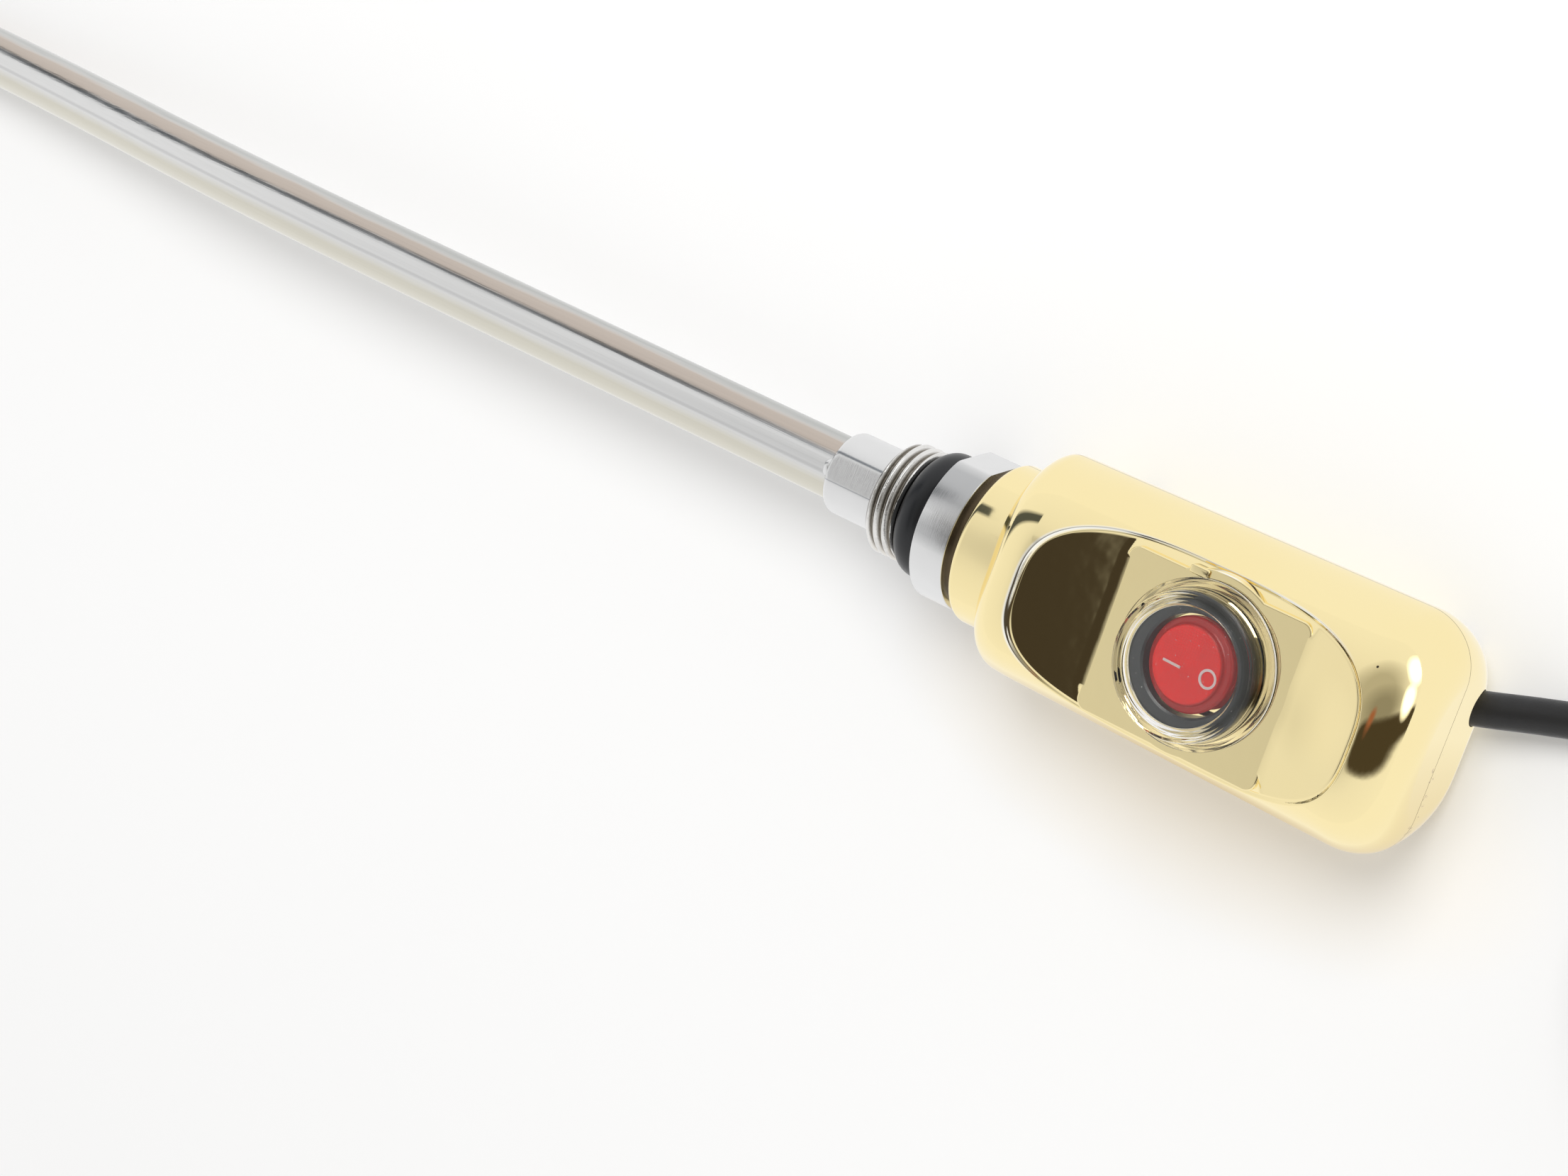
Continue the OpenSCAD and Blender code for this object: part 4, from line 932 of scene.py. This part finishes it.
def section_point(u, a, shell):
    """Point of a shell's skin at u and at the angle a round it, from 0 to pi."""
    w, _, h, _ = outline_at(u, shell)
    p, q = shell[3:]
    c, s = np.cos(a), np.abs(np.sin(a))
    y = w * np.sign(c) * np.abs(c) ** (2 / p)
    z = h * s ** (2 / q)
    if shell is BACK:
        z = -np.minimum(z, SEAT_DEPTH)
    return np.stack([BODY_X0 + u, y, z], -1)


def skin_normal(points, shell):
    """Outward normals of a shell's skin at its points."""
    x, y, z = np.asarray(points, float).T
    w, wu, h, hu = outline_at(np.clip(x - BODY_X0, 0, BODY_LENGTH), shell)
    p, q = shell[3:]
    ay, az = np.abs(y) / w, np.abs(z) / h
    ny = p * ay ** (p - 1) * np.sign(y) / w
    nz = q * az ** (q - 1) * np.sign(z) / h
    nx = -(p * ay ** p * wu / w + q * az ** q * hu / h)
    return units(np.stack([nx, ny, nz], -1))


def skin_height(x, y):
    """Height of the switch shell's skin over a point of the parting plane."""
    w, _, h, _ = outline_at(np.clip(x - BODY_X0, 0, BODY_LENGTH), FRONT)
    return h * np.clip(1 - np.abs(y / w) ** 3, 0, 1) ** (2 / 3)


def oval_level(x, y):
    """Distance outside the recess's oval rim, to first order."""
    a, b = OVAL_LENGTH / 2, OVAL_W / 2
    dx, dy = (x - OVAL_X) / a, (y - OVAL_Y) / b
    g = (np.abs(dx) ** OVAL_POWER + np.abs(dy) ** OVAL_POWER + 1e-12) ** (1 / OVAL_POWER)
    gx = np.abs(dx / g) ** (OVAL_POWER - 1) / a
    gy = np.abs(dy / g) ** (OVAL_POWER - 1) / b
    return (g - 1) / np.sqrt(gx * gx + gy * gy)


def soft_min(a, b, k):
    h = np.clip(0.5 + 0.5 * (b - a) / k, 0, 1)
    return b * (1 - h) + a * h - k * h * (1 - h)


def soft_max(a, b, k):
    return -soft_min(-a, -b, k)


RIM_OUT, RIM_IN = 0.45, 0.45
RAMP_FILLET = 0.3
DISH_AT, DISH_R, DISH_DEPTH = (79.5, 0.0), 7.0, 0.38


def ramp_height(x, y):
    """Ramps down to the pad from either end, with a shallow sink mark in the lead end's one."""
    top = CROWN_H - RECESS_DEPTH
    left = PAD_X - PAD_LENGTH / 2
    right = PAD_X + PAD_LENGTH / 2
    low_x, high_x = OVAL_X - OVAL_LENGTH / 2, OVAL_X + OVAL_LENGTH / 2
    slope0 = PAD_H + (top - PAD_H) * (left - x) / (left - low_x)
    slope1 = PAD_H + (top - PAD_H) * (x - right) / (high_x - right)
    away = np.hypot(x - DISH_AT[0], (y - DISH_AT[1]) * 0.8) / DISH_R
    dish = DISH_DEPTH * np.cos(math.pi / 2 * np.minimum(away, 1)) ** 2
    return soft_max(soft_max(slope0, slope1, 0.1), PAD_H - 0.06 + 0 * x, RAMP_FILLET) - dish


def recess_floor(x, y):
    """Floor of the recess: its ramps, never above the lowered skin."""
    return soft_min(ramp_height(x, y), skin_height(x, y) - RECESS_DEPTH, 0.3)


def top_height(x, y):
    """Height of the switch side near and inside the recess."""
    d = oval_level(x, y)
    share = smooth_step((RIM_OUT - d) / (RIM_OUT + RIM_IN))
    skin = skin_height(x, y)
    return skin - share * (skin - recess_floor(x, y))


def slope_normal(height, x, y):
    e = 0.02
    dx = (height(x + e, y) - height(x - e, y)) / (2 * e)
    dy = (height(x, y + e) - height(x, y - e)) / (2 * e)
    return units(np.stack([-dx, -dy, np.ones_like(dx)], -1))


def top_normal(points):
    """Normals of the switch side: beyond the pad's ends, ramps shade as planes to the rim."""
    x, y = points[:, 0], points[:, 1]
    flat = smooth_step((-RIM_IN + 0.1 - oval_level(x, y)) / 0.4)[:, None]
    beyond = np.abs(x - PAD_X) - PAD_LENGTH / 2
    flat = flat * smooth_step(beyond / 0.4)[:, None]
    n = (1 - flat) * slope_normal(top_height, x, y) + flat * slope_normal(ramp_height, x, y)
    return units(n)


def even_table(curve, count=2000):
    """Turns a curve over 0..1 into a function from its share of arc length to its parameter."""
    t = np.linspace(0, 1, count)
    p = curve(t)
    step = np.concatenate([[0], np.cumsum(np.linalg.norm(np.diff(p, axis=0), axis=1))])
    return lambda s: np.interp(s, step / step[-1], t)


def shell_tables(shell):
    """Even stops along a shell's length and round its section."""

    def ridge(t):
        u = t * BODY_LENGTH
        w, _, h, _ = outline_at(u, shell)
        return np.stack([u, w * 0.7 + h * 0.7], -1)

    around = even_table(lambda t: section_point(np.full_like(t, MID_U), t * math.pi, shell))
    return even_table(ridge, 6000), around


PART_GAP = 0.06
MID_U = 40.0


def make_front_shell(finish):
    """Gold switch side: its skin, the rim and floor of the recess, the lip and the end faces."""
    along, around = shell_tables(FRONT)

    def at(s, b):
        return section_point(along(s) * BODY_LENGTH, around(b) * math.pi, FRONT)

    # Stops round the edge of the (s, b) square, with its corners among them
    long, short = (np.linspace(0, 1, count, endpoint=False) for count in (132, 76))
    edge = np.array([(s, 0) for s in long] + [(1, b) for b in short]
                    + [(1 - s, 1) for s in long] + [(0, 1 - b) for b in short])
    n = len(edge)
    middle = np.array([np.interp(OVAL_X - BODY_X0, along(np.linspace(0, 1, 500)) * BODY_LENGTH,
                                 np.linspace(0, 1, 500)), 0.5])
    low, high = np.zeros(n), np.ones(n)
    for _ in range(40):
        t = (low + high) / 2
        where = middle + (edge - middle) * t[:, None]
        p = at(where[:, 0], where[:, 1])
        inside = oval_level(p[:, 0], p[:, 1]) < RIM_OUT + 0.35
        low, high = np.where(inside, t, low), np.where(inside, high, t)
    start = middle + (edge - middle) * ((low + high) / 2)[:, None]
    rows, normals = [], []
    steps = 40
    for j in range(steps, -1, -1):
        where = start + (edge - start) * (j / steps)
        p = at(where[:, 0], where[:, 1])
        normals.append(skin_normal(p, FRONT))
        p[:, 2] = np.maximum(p[:, 2], PART_GAP)
        rows.append(p)
    ring = rows[-1]
    # Across the rim, then inwards over the floor
    centre = np.array([OVAL_X, OVAL_Y])
    inner = [ring[:, :2]]
    for d in np.linspace(RIM_OUT + 0.3, -RIM_IN - 0.1, 16):
        guess = inner[-1]
        for _ in range(3):
            miss = oval_level(guess[:, 0], guess[:, 1]) - d
            guess = guess - units(guess - centre) * miss[:, None]
        inner.append(guess)
    inner += [centre + (guess - centre) * (1 - f * 0.58) for f in np.linspace(0, 1, 64)[1:]]
    for flat in inner[1:]:
        x, y = flat[:, 0], flat[:, 1]
        p = np.stack([x, y, top_height(x, y)], -1)
        rows.append(p)
        normals.append(top_normal(p))
    points, normals = np.concatenate(rows), np.concatenate(normals)
    faces = [f[::-1] for f in strips(len(rows), n)]
    # Lip under the parting line and the flat end faces
    rim = rows[0]
    base = len(points)
    lip = rim.copy()
    lip[:, 1] *= 1 - 1.2 / np.maximum(np.abs(rim[:, 1]), 1.3)
    lip[:, 2] = PART_GAP
    low_edge = rim[:, 2] < PART_GAP + 1e-4
    extra = [p for i in range(n) for p in (rim[i], lip[i] if low_edge[i] else rim[i])]
    for i in range(n):
        k = (i + 1) % n
        if low_edge[i] and low_edge[k]:
            faces.append((base + 2 * i, base + 2 * i + 1, base + 2 * k + 1, base + 2 * k))
    points = np.concatenate([points, extra])
    normals = np.concatenate([normals, [(0, 0, -1)] * len(extra)])
    for side, x in ((-1, BODY_X0), (1, BODY_X1)):
        base = len(points)
        ends = [i for i in range(n) if abs(rim[i, 0] - x) < 1e-4]
        ends.sort(key=lambda i: -rim[i, 1] * side)
        points = np.concatenate([points, rim[ends]])
        normals = np.concatenate([normals, [(side, 0, 0)] * len(ends)])
        faces.append(tuple(range(base, base + len(ends))))
    return mesh_object("switch_shell", points, faces, finish, normals=normals)


SCREWS = [(x, s * half) for s in (-1, 1) for x, half in ((BODY_X0 + 12.5, 14), (BODY_X1 - 8, 15))]


def make_rear_shell(finish):
    """Gold back shell with its flat back, screw wells and the lead's hole."""
    along, around = shell_tables(BACK)
    angles = np.pi * around(np.linspace(0, 1, 97))
    n = len(angles)
    rows = []
    for u in along(np.linspace(0, 1, 150)) * BODY_LENGTH:
        p = section_point(np.full(n, u), angles, BACK)
        p[:, 2] = np.minimum(p[:, 2], -PART_GAP)
        rows.append(p)
    last = (len(rows) - 1) * n
    faces = strips(len(rows), n)
    faces += [tuple(range(n - 1, -1, -1)), tuple(last + i for i in range(n))]
    made = solid("back_shell", np.concatenate(rows), faces, finish)
    cutters = [lathe("well", [(0, -20), (2.85, -20), (2.85, -10.8), (0, -10.8)], finish, axis="z",
                     centre=(x, y, 0), segments=48) for x, y in SCREWS]
    hole_r = CORD_D / 2 + 0.15
    hole = lathe("hole", [(0, -12), (hole_r, -12), (hole_r, 12), (0, 12)], finish, segments=64)
    hole.matrix_world = Matrix.Translation(mm(EXIT)) @ Matrix.Rotation(EXIT_TURN, 4, "Z")
    carve(made, cutters + [hole])
    return made


def carve(made, cutters):
    """Cuts solids out of a mesh, and applies the cut."""
    bpy.context.view_layer.update()
    for cutter in cutters:
        cut = made.modifiers.new("cut", "BOOLEAN")
        cut.operation = "DIFFERENCE"
        cut.solver = "EXACT"
        cut.object = cutter
    graph = bpy.context.evaluated_depsgraph_get()
    done = bpy.data.meshes.new_from_object(made.evaluated_get(graph))
    made.modifiers.clear()
    made.data = done
    for cutter in cutters:
        bpy.data.objects.remove(cutter)


def dress_normals(made):
    """Gives the back shell's faces the normals of the curved skin that they lie on."""
    mesh = made.data
    loops = np.zeros((len(mesh.loops), 3))
    points = np.array([v.co for v in mesh.vertices]) * 1000
    smooth = skin_normal(points - [0, 0, 1e-6], BACK)
    for face in mesh.polygons:
        flat = np.array(face.normal)
        for k in face.loop_indices:
            v = mesh.loops[k].vertex_index
            near = float(smooth[v] @ flat)
            plane = abs(flat[0]) > 0.9999 or abs(flat[2]) > 0.9999
            loops[k] = smooth[v] if near > 0.93 and not plane else flat
    mesh.polygons.foreach_set("use_smooth", [True] * len(mesh.polygons))
    mesh.normals_split_custom_set([tuple(v) for v in loops])


NECK_END = 17.9


def half_ring(name, side, finish):
    """One half of the neck, with its rounded front edge and the bore that grips the plug. side is
    1 for the switch's half and -1 for the back one."""
    segments, bore = 96, SPIGOT_R + 0.05
    profile = [(bore, NECK_END), (bore, NECK_X0 + 0.2), (bore + 0.2, NECK_X0)]
    profile += fillet(NECK_R, NECK_X0, 1.2, 12) + [(NECK_R, NECK_END)]
    rows = len(profile)
    points = []
    for r, x in profile:
        tilt = math.asin(PART_GAP / r)
        for a in np.linspace(tilt, math.pi - tilt, segments):
            points.append((x, r * math.cos(a), r * math.sin(a) * side))
    faces = strips(rows, segments, closed=False, back=True)
    faces += [tuple(j * segments + end for j in range(rows)) for end in (0, segments - 1)]
    return solid(name, points, faces, finish, crease=20)


def pad_outline(count=720):
    """Outline of the pad and its round boss, seen from above, with its outward directions."""
    points = []
    half_l, half_w, corner = PAD_LENGTH / 2, PAD_W / 2, 2.0
    for a in np.linspace(0, 2 * math.pi, count, endpoint=False):
        c, s = math.cos(a), math.sin(a)
        low, high = 0.0, 40.0
        for _ in range(40):
            r = (low + high) / 2
            x, y = r * c + SWITCH_X - PAD_X, r * s - PAD_Y
            qx, qy = abs(x) - (half_l - corner), abs(y) - (half_w - corner)
            away = math.hypot(max(qx, 0), max(qy, 0)) + min(max(qx, qy), 0) - corner
            low, high = (r, high) if away < 0 else (low, r)
        r = max(low, PAD_BOSS_R)
        points.append((SWITCH_X + r * c, r * s))
    points = np.array(points)
    along = np.roll(points, -1, 0) - np.roll(points, 1, 0)
    out = np.stack([along[:, 1], -along[:, 0]], -1)
    return points, units(out)


TAB_X, TAB_Y = (50.7, 54.2), (13.5, 15.0)


def make_tab(finish):
    """Small raised tab beside the cap, on the pad's far edge."""
    count, steps = 48, 6
    edge, top = 0.25, PAD_H + 0.55
    points = []

    def ring(inset, z):
        for i in range(count):
            a = 2 * math.pi * (i + 0.5) / count
            c, d = math.cos(a), math.sin(a)
            k = (abs(c) ** 6 + abs(d) ** 6) ** (-1 / 6)
            x, y = ((low + high) / 2 + ((high - low) / 2 - inset) * t * k
                    for (low, high), t in ((TAB_X, c), (TAB_Y, d)))
            points.append((x, y, z))

    ring(0, PAD_H - 1.5)
    for a in np.linspace(0, math.pi / 2, steps):
        ring(edge * (1 - math.cos(a)), top - edge * (1 - math.sin(a)))
    faces = strips(steps + 1, count)
    faces += [tuple(range(count)), tuple(range(steps * count, (steps + 1) * count))]
    return solid("pad_tab", points, faces, finish, crease=35)


def make_pad(finish):
    """Level pad and boss under the switch, with a fine rounded edge."""
    outline, out = pad_outline()
    n = len(outline)
    edge = 0.3
    rows, normals = [], []
    levels = [(0.0, PAD_H - 2.2, 0.0)] + [
        (edge * (1 - math.cos(a)), PAD_H - edge * (1 - math.sin(a)), a)
        for a in np.linspace(0, math.pi / 2, 7)
    ]
    for inset, z, a in levels:
        p = outline - out * inset
        rows.append(np.column_stack([p, np.full(n, z)]))
        normals.append(np.column_stack([out * math.cos(a), np.full(n, math.sin(a))]))
    top = np.column_stack([
        SWITCH_X + (outline[:, 0] - SWITCH_X) * 0.6, outline[:, 1] * 0.6, np.full(n, PAD_H)
    ])
    rows.append(top)
    normals.append(np.tile((0, 0, 1), (n, 1)))
    base = len(rows) * n
    faces = strips(len(rows), n) + [tuple(base + i for i in range(n - 1, -1, -1))]
    rows.append(rows[0])
    normals.append(np.tile((0, 0, -1), (n, 1)))
    return mesh_object("switch_pad", np.concatenate(rows), faces, finish,
                       normals=np.concatenate(normals))


# Switch and cap --------------------


def make_bezel(black):
    top = PAD_H + 2.0
    profile = [(9.9, 3.0), (9.9, PAD_H + 0.6), (11.3, PAD_H + 0.6), (11.3, top - 0.5),
               (11.0, top - 0.15), (10.3, top), (8.9, top), (8.5, top - 0.25), (8.5, 6.0), (0, 6.0)]
    return lathe("switch_bezel", [(0, 3.0)] + profile, black, axis="z", centre=(SWITCH_X, 0, 0))


def make_rocker(red):
    """Round rocker with its raised, slightly dished face."""
    profile = [(0, -3.0), (5.4, -3.0), (6.0, -2.4), (6.0, 1.6), (7.9, 1.6), (8.0, 1.75),
               (8.0, 2.35), (7.7, 2.75), (7.0, 2.8), (6.75, 2.95), (6.62, 3.5), (6.35, 3.78),
               (5.9, 3.8)]
    profile += [(r, 3.8 - 0.22 * (1 - (r / 5.9) ** 2)) for r in (4.5, 3.0, 1.5)] + [(0, 3.58)]
    return lathe("rocker_face", rounded(profile, 0.15, 3), red, axis="z", crease=30)


# The I's extents, and the O's middle and its inner and outer radius
MARK_I_X, MARK_I_Y = (-4.3, -0.85), (-1.05, -0.65)
MARK_O, MARK_O_R = (4.6, -0.45), (1.24, 1.66)
MARK_FOOT, MARK_I_TOP, MARK_O_TOP = 3.5, 3.84, 3.85


def make_marks(white):
    """The generic I and O on the rocker, as thin raised lines."""
    ring = 64
    corners = list(zip(MARK_I_X + MARK_I_X[::-1], np.repeat(MARK_I_Y, 2)))
    points = [(x, y, z) for z in (MARK_FOOT, MARK_I_TOP) for x, y in corners]
    start = len(points)
    inner, outer = MARK_O_R
    for r, z in ((outer, MARK_FOOT), (outer, MARK_O_TOP), (inner, MARK_O_TOP), (inner, MARK_FOOT)):
        points += [(MARK_O[0] + c, MARK_O[1] + d, z) for c, d in circle(r, ring)]
    faces = list(BOX) + [tuple(start + i for i in f) for f in strips(4, ring, back=True)]
    return solid("rocker_marks", points, faces, white, crease=30)


def tilt_to_rest(made):
    """Puts a piece drawn about the rocker's axis where the rocker rests, and applies it."""
    turn = Matrix.Rotation(-ROCKER_TILT, 4, "Y")
    made.data.transform(Matrix.Translation(mm(np.array([SWITCH_X, 0, AXIS_H]))) @ turn)


def make_cap(plastic):
    """Clear cap over the rocker: foot flange, shoulder, raised rim and sunk window."""
    top = PAD_H + 6.3
    window = top - 1.1
    foot = PAD_H + 0.05
    outer = [(10.15, foot), (14.1, foot), (14.1, PAD_H + 0.9), (13.5, PAD_H + 1.5),
             (12.5, PAD_H + 1.9), (12.3, top - 0.9), (12.0, top - 0.3), (11.5, top),
             (10.8, top), (10.2, top - 0.3), (9.8, window), (0, window)]
    inner = [(0, window - 0.8), (9.8, window - 0.8), (11.5, window - 0.8), (11.5, PAD_H + 0.6),
             (10.15, PAD_H + 0.6), (10.15, foot)]
    radii = [0, 0.25, 0.3, 0.4, 0.6, 0.4, 0.3, 0.3, 0.3, 0.3, 0.3, 0]
    profile = rounded(outer, radii, 4) + rounded(inner, [0, 0.2, 0.8, 0.1, 0.1, 0], 4)
    return lathe("cap_clear", profile[:-1], plastic, axis="z", centre=(SWITCH_X, 0, 0), crease=35)


# Pieces at the housing's lead end and on the lead --------------------


SCREW_HEAD = [(0, -10.9), (1.5, -10.9), (2.65, -10.95), (2.7, -11.3), (2.5, -12.1), (1.9, -12.6),
              (0, -12.8)]
SCREW_SHANK = [(0, -11), (1.5, -11), (1.5, 6.5), (0.2, 7), (0, 7)]


def make_screws(steel):
    """Cross-recessed screws sunk in the back shell's wells."""
    parts = []
    for x, y in SCREWS:
        head = lathe("screw", SCREW_HEAD, steel, axis="z", centre=(x, y, 0), segments=64)
        carve(head, [
            block("slot", [(z, (x - w * t, x + w * t, y - l * t, y + l * t))
                           for z, t in ((-13.2, 1.0), (-11.6, 0.55))], steel)
            for w, l in ((1.5, 0.35), (0.35, 1.5))
        ])
        head.data.set_sharp_from_angle(angle=math.radians(25))
        parts += [head, lathe("shank", SCREW_SHANK, steel, axis="z", centre=(x, y, 0), segments=32)]
    return join("back_screws", parts)


def make_mains_plug(black):
    """Moulded mains plug on its side, with grip ribs and a ringed boot."""
    boot = CORD_D / 2 + 2
    profile = [(0, 0), (boot - 1.4, 0), (boot - 0.5, 0.6), (boot, 1.6)]
    for k in range(5):
        x = 2.4 + 2.6 * k
        r = boot + 1.1 * k / 5
        profile += [(r, x), (r - 0.9, x + 0.35), (r - 0.9, x + 1.2), (r + 0.1, x + 1.55)]
    profile += [(boot + 1.4, 15.6), (boot + 2.6, 18.4), (boot + 5.0, 21.6), (15.6, 24.0),
                (17.7, 26.2), (18.4, 28.4), (18.5, 31.0), (18.5, 45.0), (18.3, 45.6), (17.7, 46),
                (0, 46)]
    made = lathe("plug_moulding", rounded(profile, 0.5, 4), black, axis="z", crease=30)
    cutters = []
    for s in (-1, 1):
        cutters.append(lathe("bore", [(0, 38), (2.45, 38), (2.45, 47), (0, 47)], black, axis="z",
                             centre=(s * 9.5, 0, 0), segments=48))
        low, high = sorted((16.0 * s, 20.5 * s))
        cutters.append(block("groove", [(z, (-2.55, 2.55, low, high)) for z in (30.0, 52.0)],
                             black))
    for i in range(28):
        a = 2 * math.pi * (i + 0.5) / 28
        if abs(abs(math.sin(a)) - 1) < 0.06:
            continue
        cutters.append(lathe("rib", [(0, 29.5), (0.42, 30.2), (0.42, 43.6), (0, 44.3)], black,
                             axis="z", centre=(18.62 * math.cos(a), 18.62 * math.sin(a), 0),
                             segments=12))
    carve(made, cutters)
    made.data.set_sharp_from_angle(angle=math.radians(28))
    turn = Matrix.Rotation(math.pi / 2 - PLUG_TURN, 4, "Z") @ Matrix.Rotation(math.pi / 2, 4, "X")
    made.data.transform(Matrix.Translation(mm(PLUG_AT)) @ turn)
    return made


def make_strap(fabric):
    """Woven strap round the hank's waist, with softly rounded edges."""
    y0 = -fold(2.625)[0] - CORD_D / 2 - 0.1
    y1 = fold(0.125)[0] + CORD_D / 2 + 0.1
    z0, z1 = FLOOR_Z + TIE_T, COIL_Z + 3 * COIL_PITCH + CORD_D / 2 + 0.1
    mid_y, mid_z = (y0 + y1) / 2, (z0 + z1) / 2

    def loop(grow, steps=12):
        half_y, half_z, corner = (y1 - y0) / 2 + grow, (z1 - z0) / 2 + grow, 2 + grow
        out = []
        for k in range(4):
            for i in range(steps + 1):
                a = math.pi / 2 * (k + i / steps)
                out.append(((1 if k in (0, 3) else -1) * (half_y - corner) + corner * math.cos(a),
                            (1 if k < 2 else -1) * (half_z - corner) + corner * math.sin(a)))
        return out

    half_w, edge, proud = 2.5, 0.18, 0.02
    section = ((proud, half_w - edge), (proud, edge - half_w), (edge, -half_w),
               (TIE_T - edge, -half_w), (TIE_T - proud, edge - half_w),
               (TIE_T - proud, half_w - edge), (TIE_T - edge, half_w), (edge, half_w))
    points = [(HANK_AT[0] + w, HANK_AT[1] + mid_y + p, mid_z + q)
              for grow, w in section for p, q in loop(grow)]
    faces = strips(len(section), len(loop(0)), back=True)
    return solid("coil_strap", points, faces, fabric, crease=30)


# Build --------------------


def dress(node, material):
    """Gives a CAD node that stays in the scene a finish of its own."""
    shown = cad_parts[node]
    shown.data.materials.clear()
    shown.data.materials.append(material)


def put(piece, nodes, body="heater"):
    """Rides a piece on its body, in place of any CAD nodes named."""
    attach(piece, body)
    if nodes:
        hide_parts(*nodes.split())


gold_front = gold("gold_front")
gold_back = gold("gold_back", rough=0.07)
black_pvc = plain("lead_sheath", (0.012, 0.012, 0.013), 0.42, 0.5, 0.10)
black_plug = plain("plug_black", (0.014, 0.014, 0.015), 0.5, 0.7, 0.12)
dark_bezel = plain("bezel_charcoal", (0.035, 0.040, 0.043), 0.32, 0.5, 0.03)
rubber = plain("seal_rubber", (0.004, 0.005, 0.007), 0.33, 0.6, 0.05)
turned = turned_steel("plug_steel", (0.77, 0.77, 0.77), 0.22, 0.28, stain=0.1, finish=painted_plug_bands)
# The spigot is painted near-black brown, as shade in the gap between collar and neck.
spigot = turned_steel("spigot_painted_shade", (0.12, 0.09, 0.055), 0.3, 0.4)
# The thread's finish darkens its roots with painted shade.
threaded = turned_steel("thread_steel", (0.80, 0.79, 0.77), 0.12, 0.24, (0.4, 3, 3), 0.6,
                        shaded_thread_roots)
pin_steel = turned_steel("pin_steel", (0.72, 0.72, 0.72), 0.15, 0.28, (2, 2, 2))
strap_fabric = plain("strap_fabric", (0.035, 0.035, 0.037), 0.85, 2.2, 0.5)

lead, lead_length = make_lead(black_pvc)
mains_plug = make_mains_plug(black_plug)
strap = make_strap(strap_fabric)
put(mains_plug, "plug_body")
put(strap, "coil_tie")
put(lead, "supply_cord cord_coil tail_cord")
unmirrored = [lead, mains_plug, strap]
for node in ("plug_pins", "earth_contacts"):
    dress(node, pin_steel)
    unmirrored.append(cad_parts[node])
for piece in unmirrored:
    piece.visible_glossy = False

rod = tube("rod_skin", rod_centreline(), ROD_R, steel_rod())
put(rod, "rod_sheath")
put(make_plug(turned, threaded, spigot), "threaded_plug")
put(make_seal(rubber), "o_ring")

put(make_front_shell(gold_front), "front_shell")
for extra in (half_ring("neck_front", 1, gold_front), make_pad(gold_front), make_tab(gold_front)):
    put(extra, None)
rear = make_rear_shell(gold_back)
dress_normals(rear)
put(rear, "rear_shell")
put(half_ring("neck_back", -1, gold_back), None)
put(make_screws(pin_steel), "shell_screws")

put(make_bezel(dark_bezel), "switch_body")
rocker = make_rocker(red_with_painted_glow())
tilt_to_rest(rocker)
put(rocker, "rocker", body="rocker")
marks = make_marks(plain("mark_white", (0.85, 0.70, 0.70), 0.4))
tilt_to_rest(marks)
put(marks, None, body="rocker")
put(make_cap(clear("cap_plastic")), "waterproof_cap")

hidden = {
    "magnesia_fill": ((0.75, 0.73, 0.69), 0.9), "resistance_winding": ((0.2, 0.2, 0.21), 0.4),
    "winding_core": ((0.75, 0.72, 0.62), 0.8), "end_seal": ((0.45, 0.10, 0.03), 0.6),
    "indicator_lamp": ((0.75, 0.30, 0.10), 0.15), "thermal_cutout": ((0.08, 0.03, 0.015), 0.5),
    "live_lead": ((0.10, 0.035, 0.015), 0.45), "heater_lead": ((0.35, 0.02, 0.02), 0.45),
    "neutral_lead": ((0.02, 0.10, 0.45), 0.45), "earth_lead": ((0.15, 0.40, 0.05), 0.45),
    "cord_clamp": ((0.75, 0.75, 0.73), 0.5), "cable_grommet": ((0.012, 0.012, 0.012), 0.6),
}
for node, (colour, rough) in hidden.items():
    dress(node, plain("inner_" + node, colour, rough))
for node in ("terminal_pins", "switch_terminals", "earth_screw", "clamp_screws"):
    dress(node, pin_steel)
dress("earth_tag", turned_steel("brass_tag", (0.72, 0.55, 0.26), 0.25, 0.4, (2, 2, 2)))
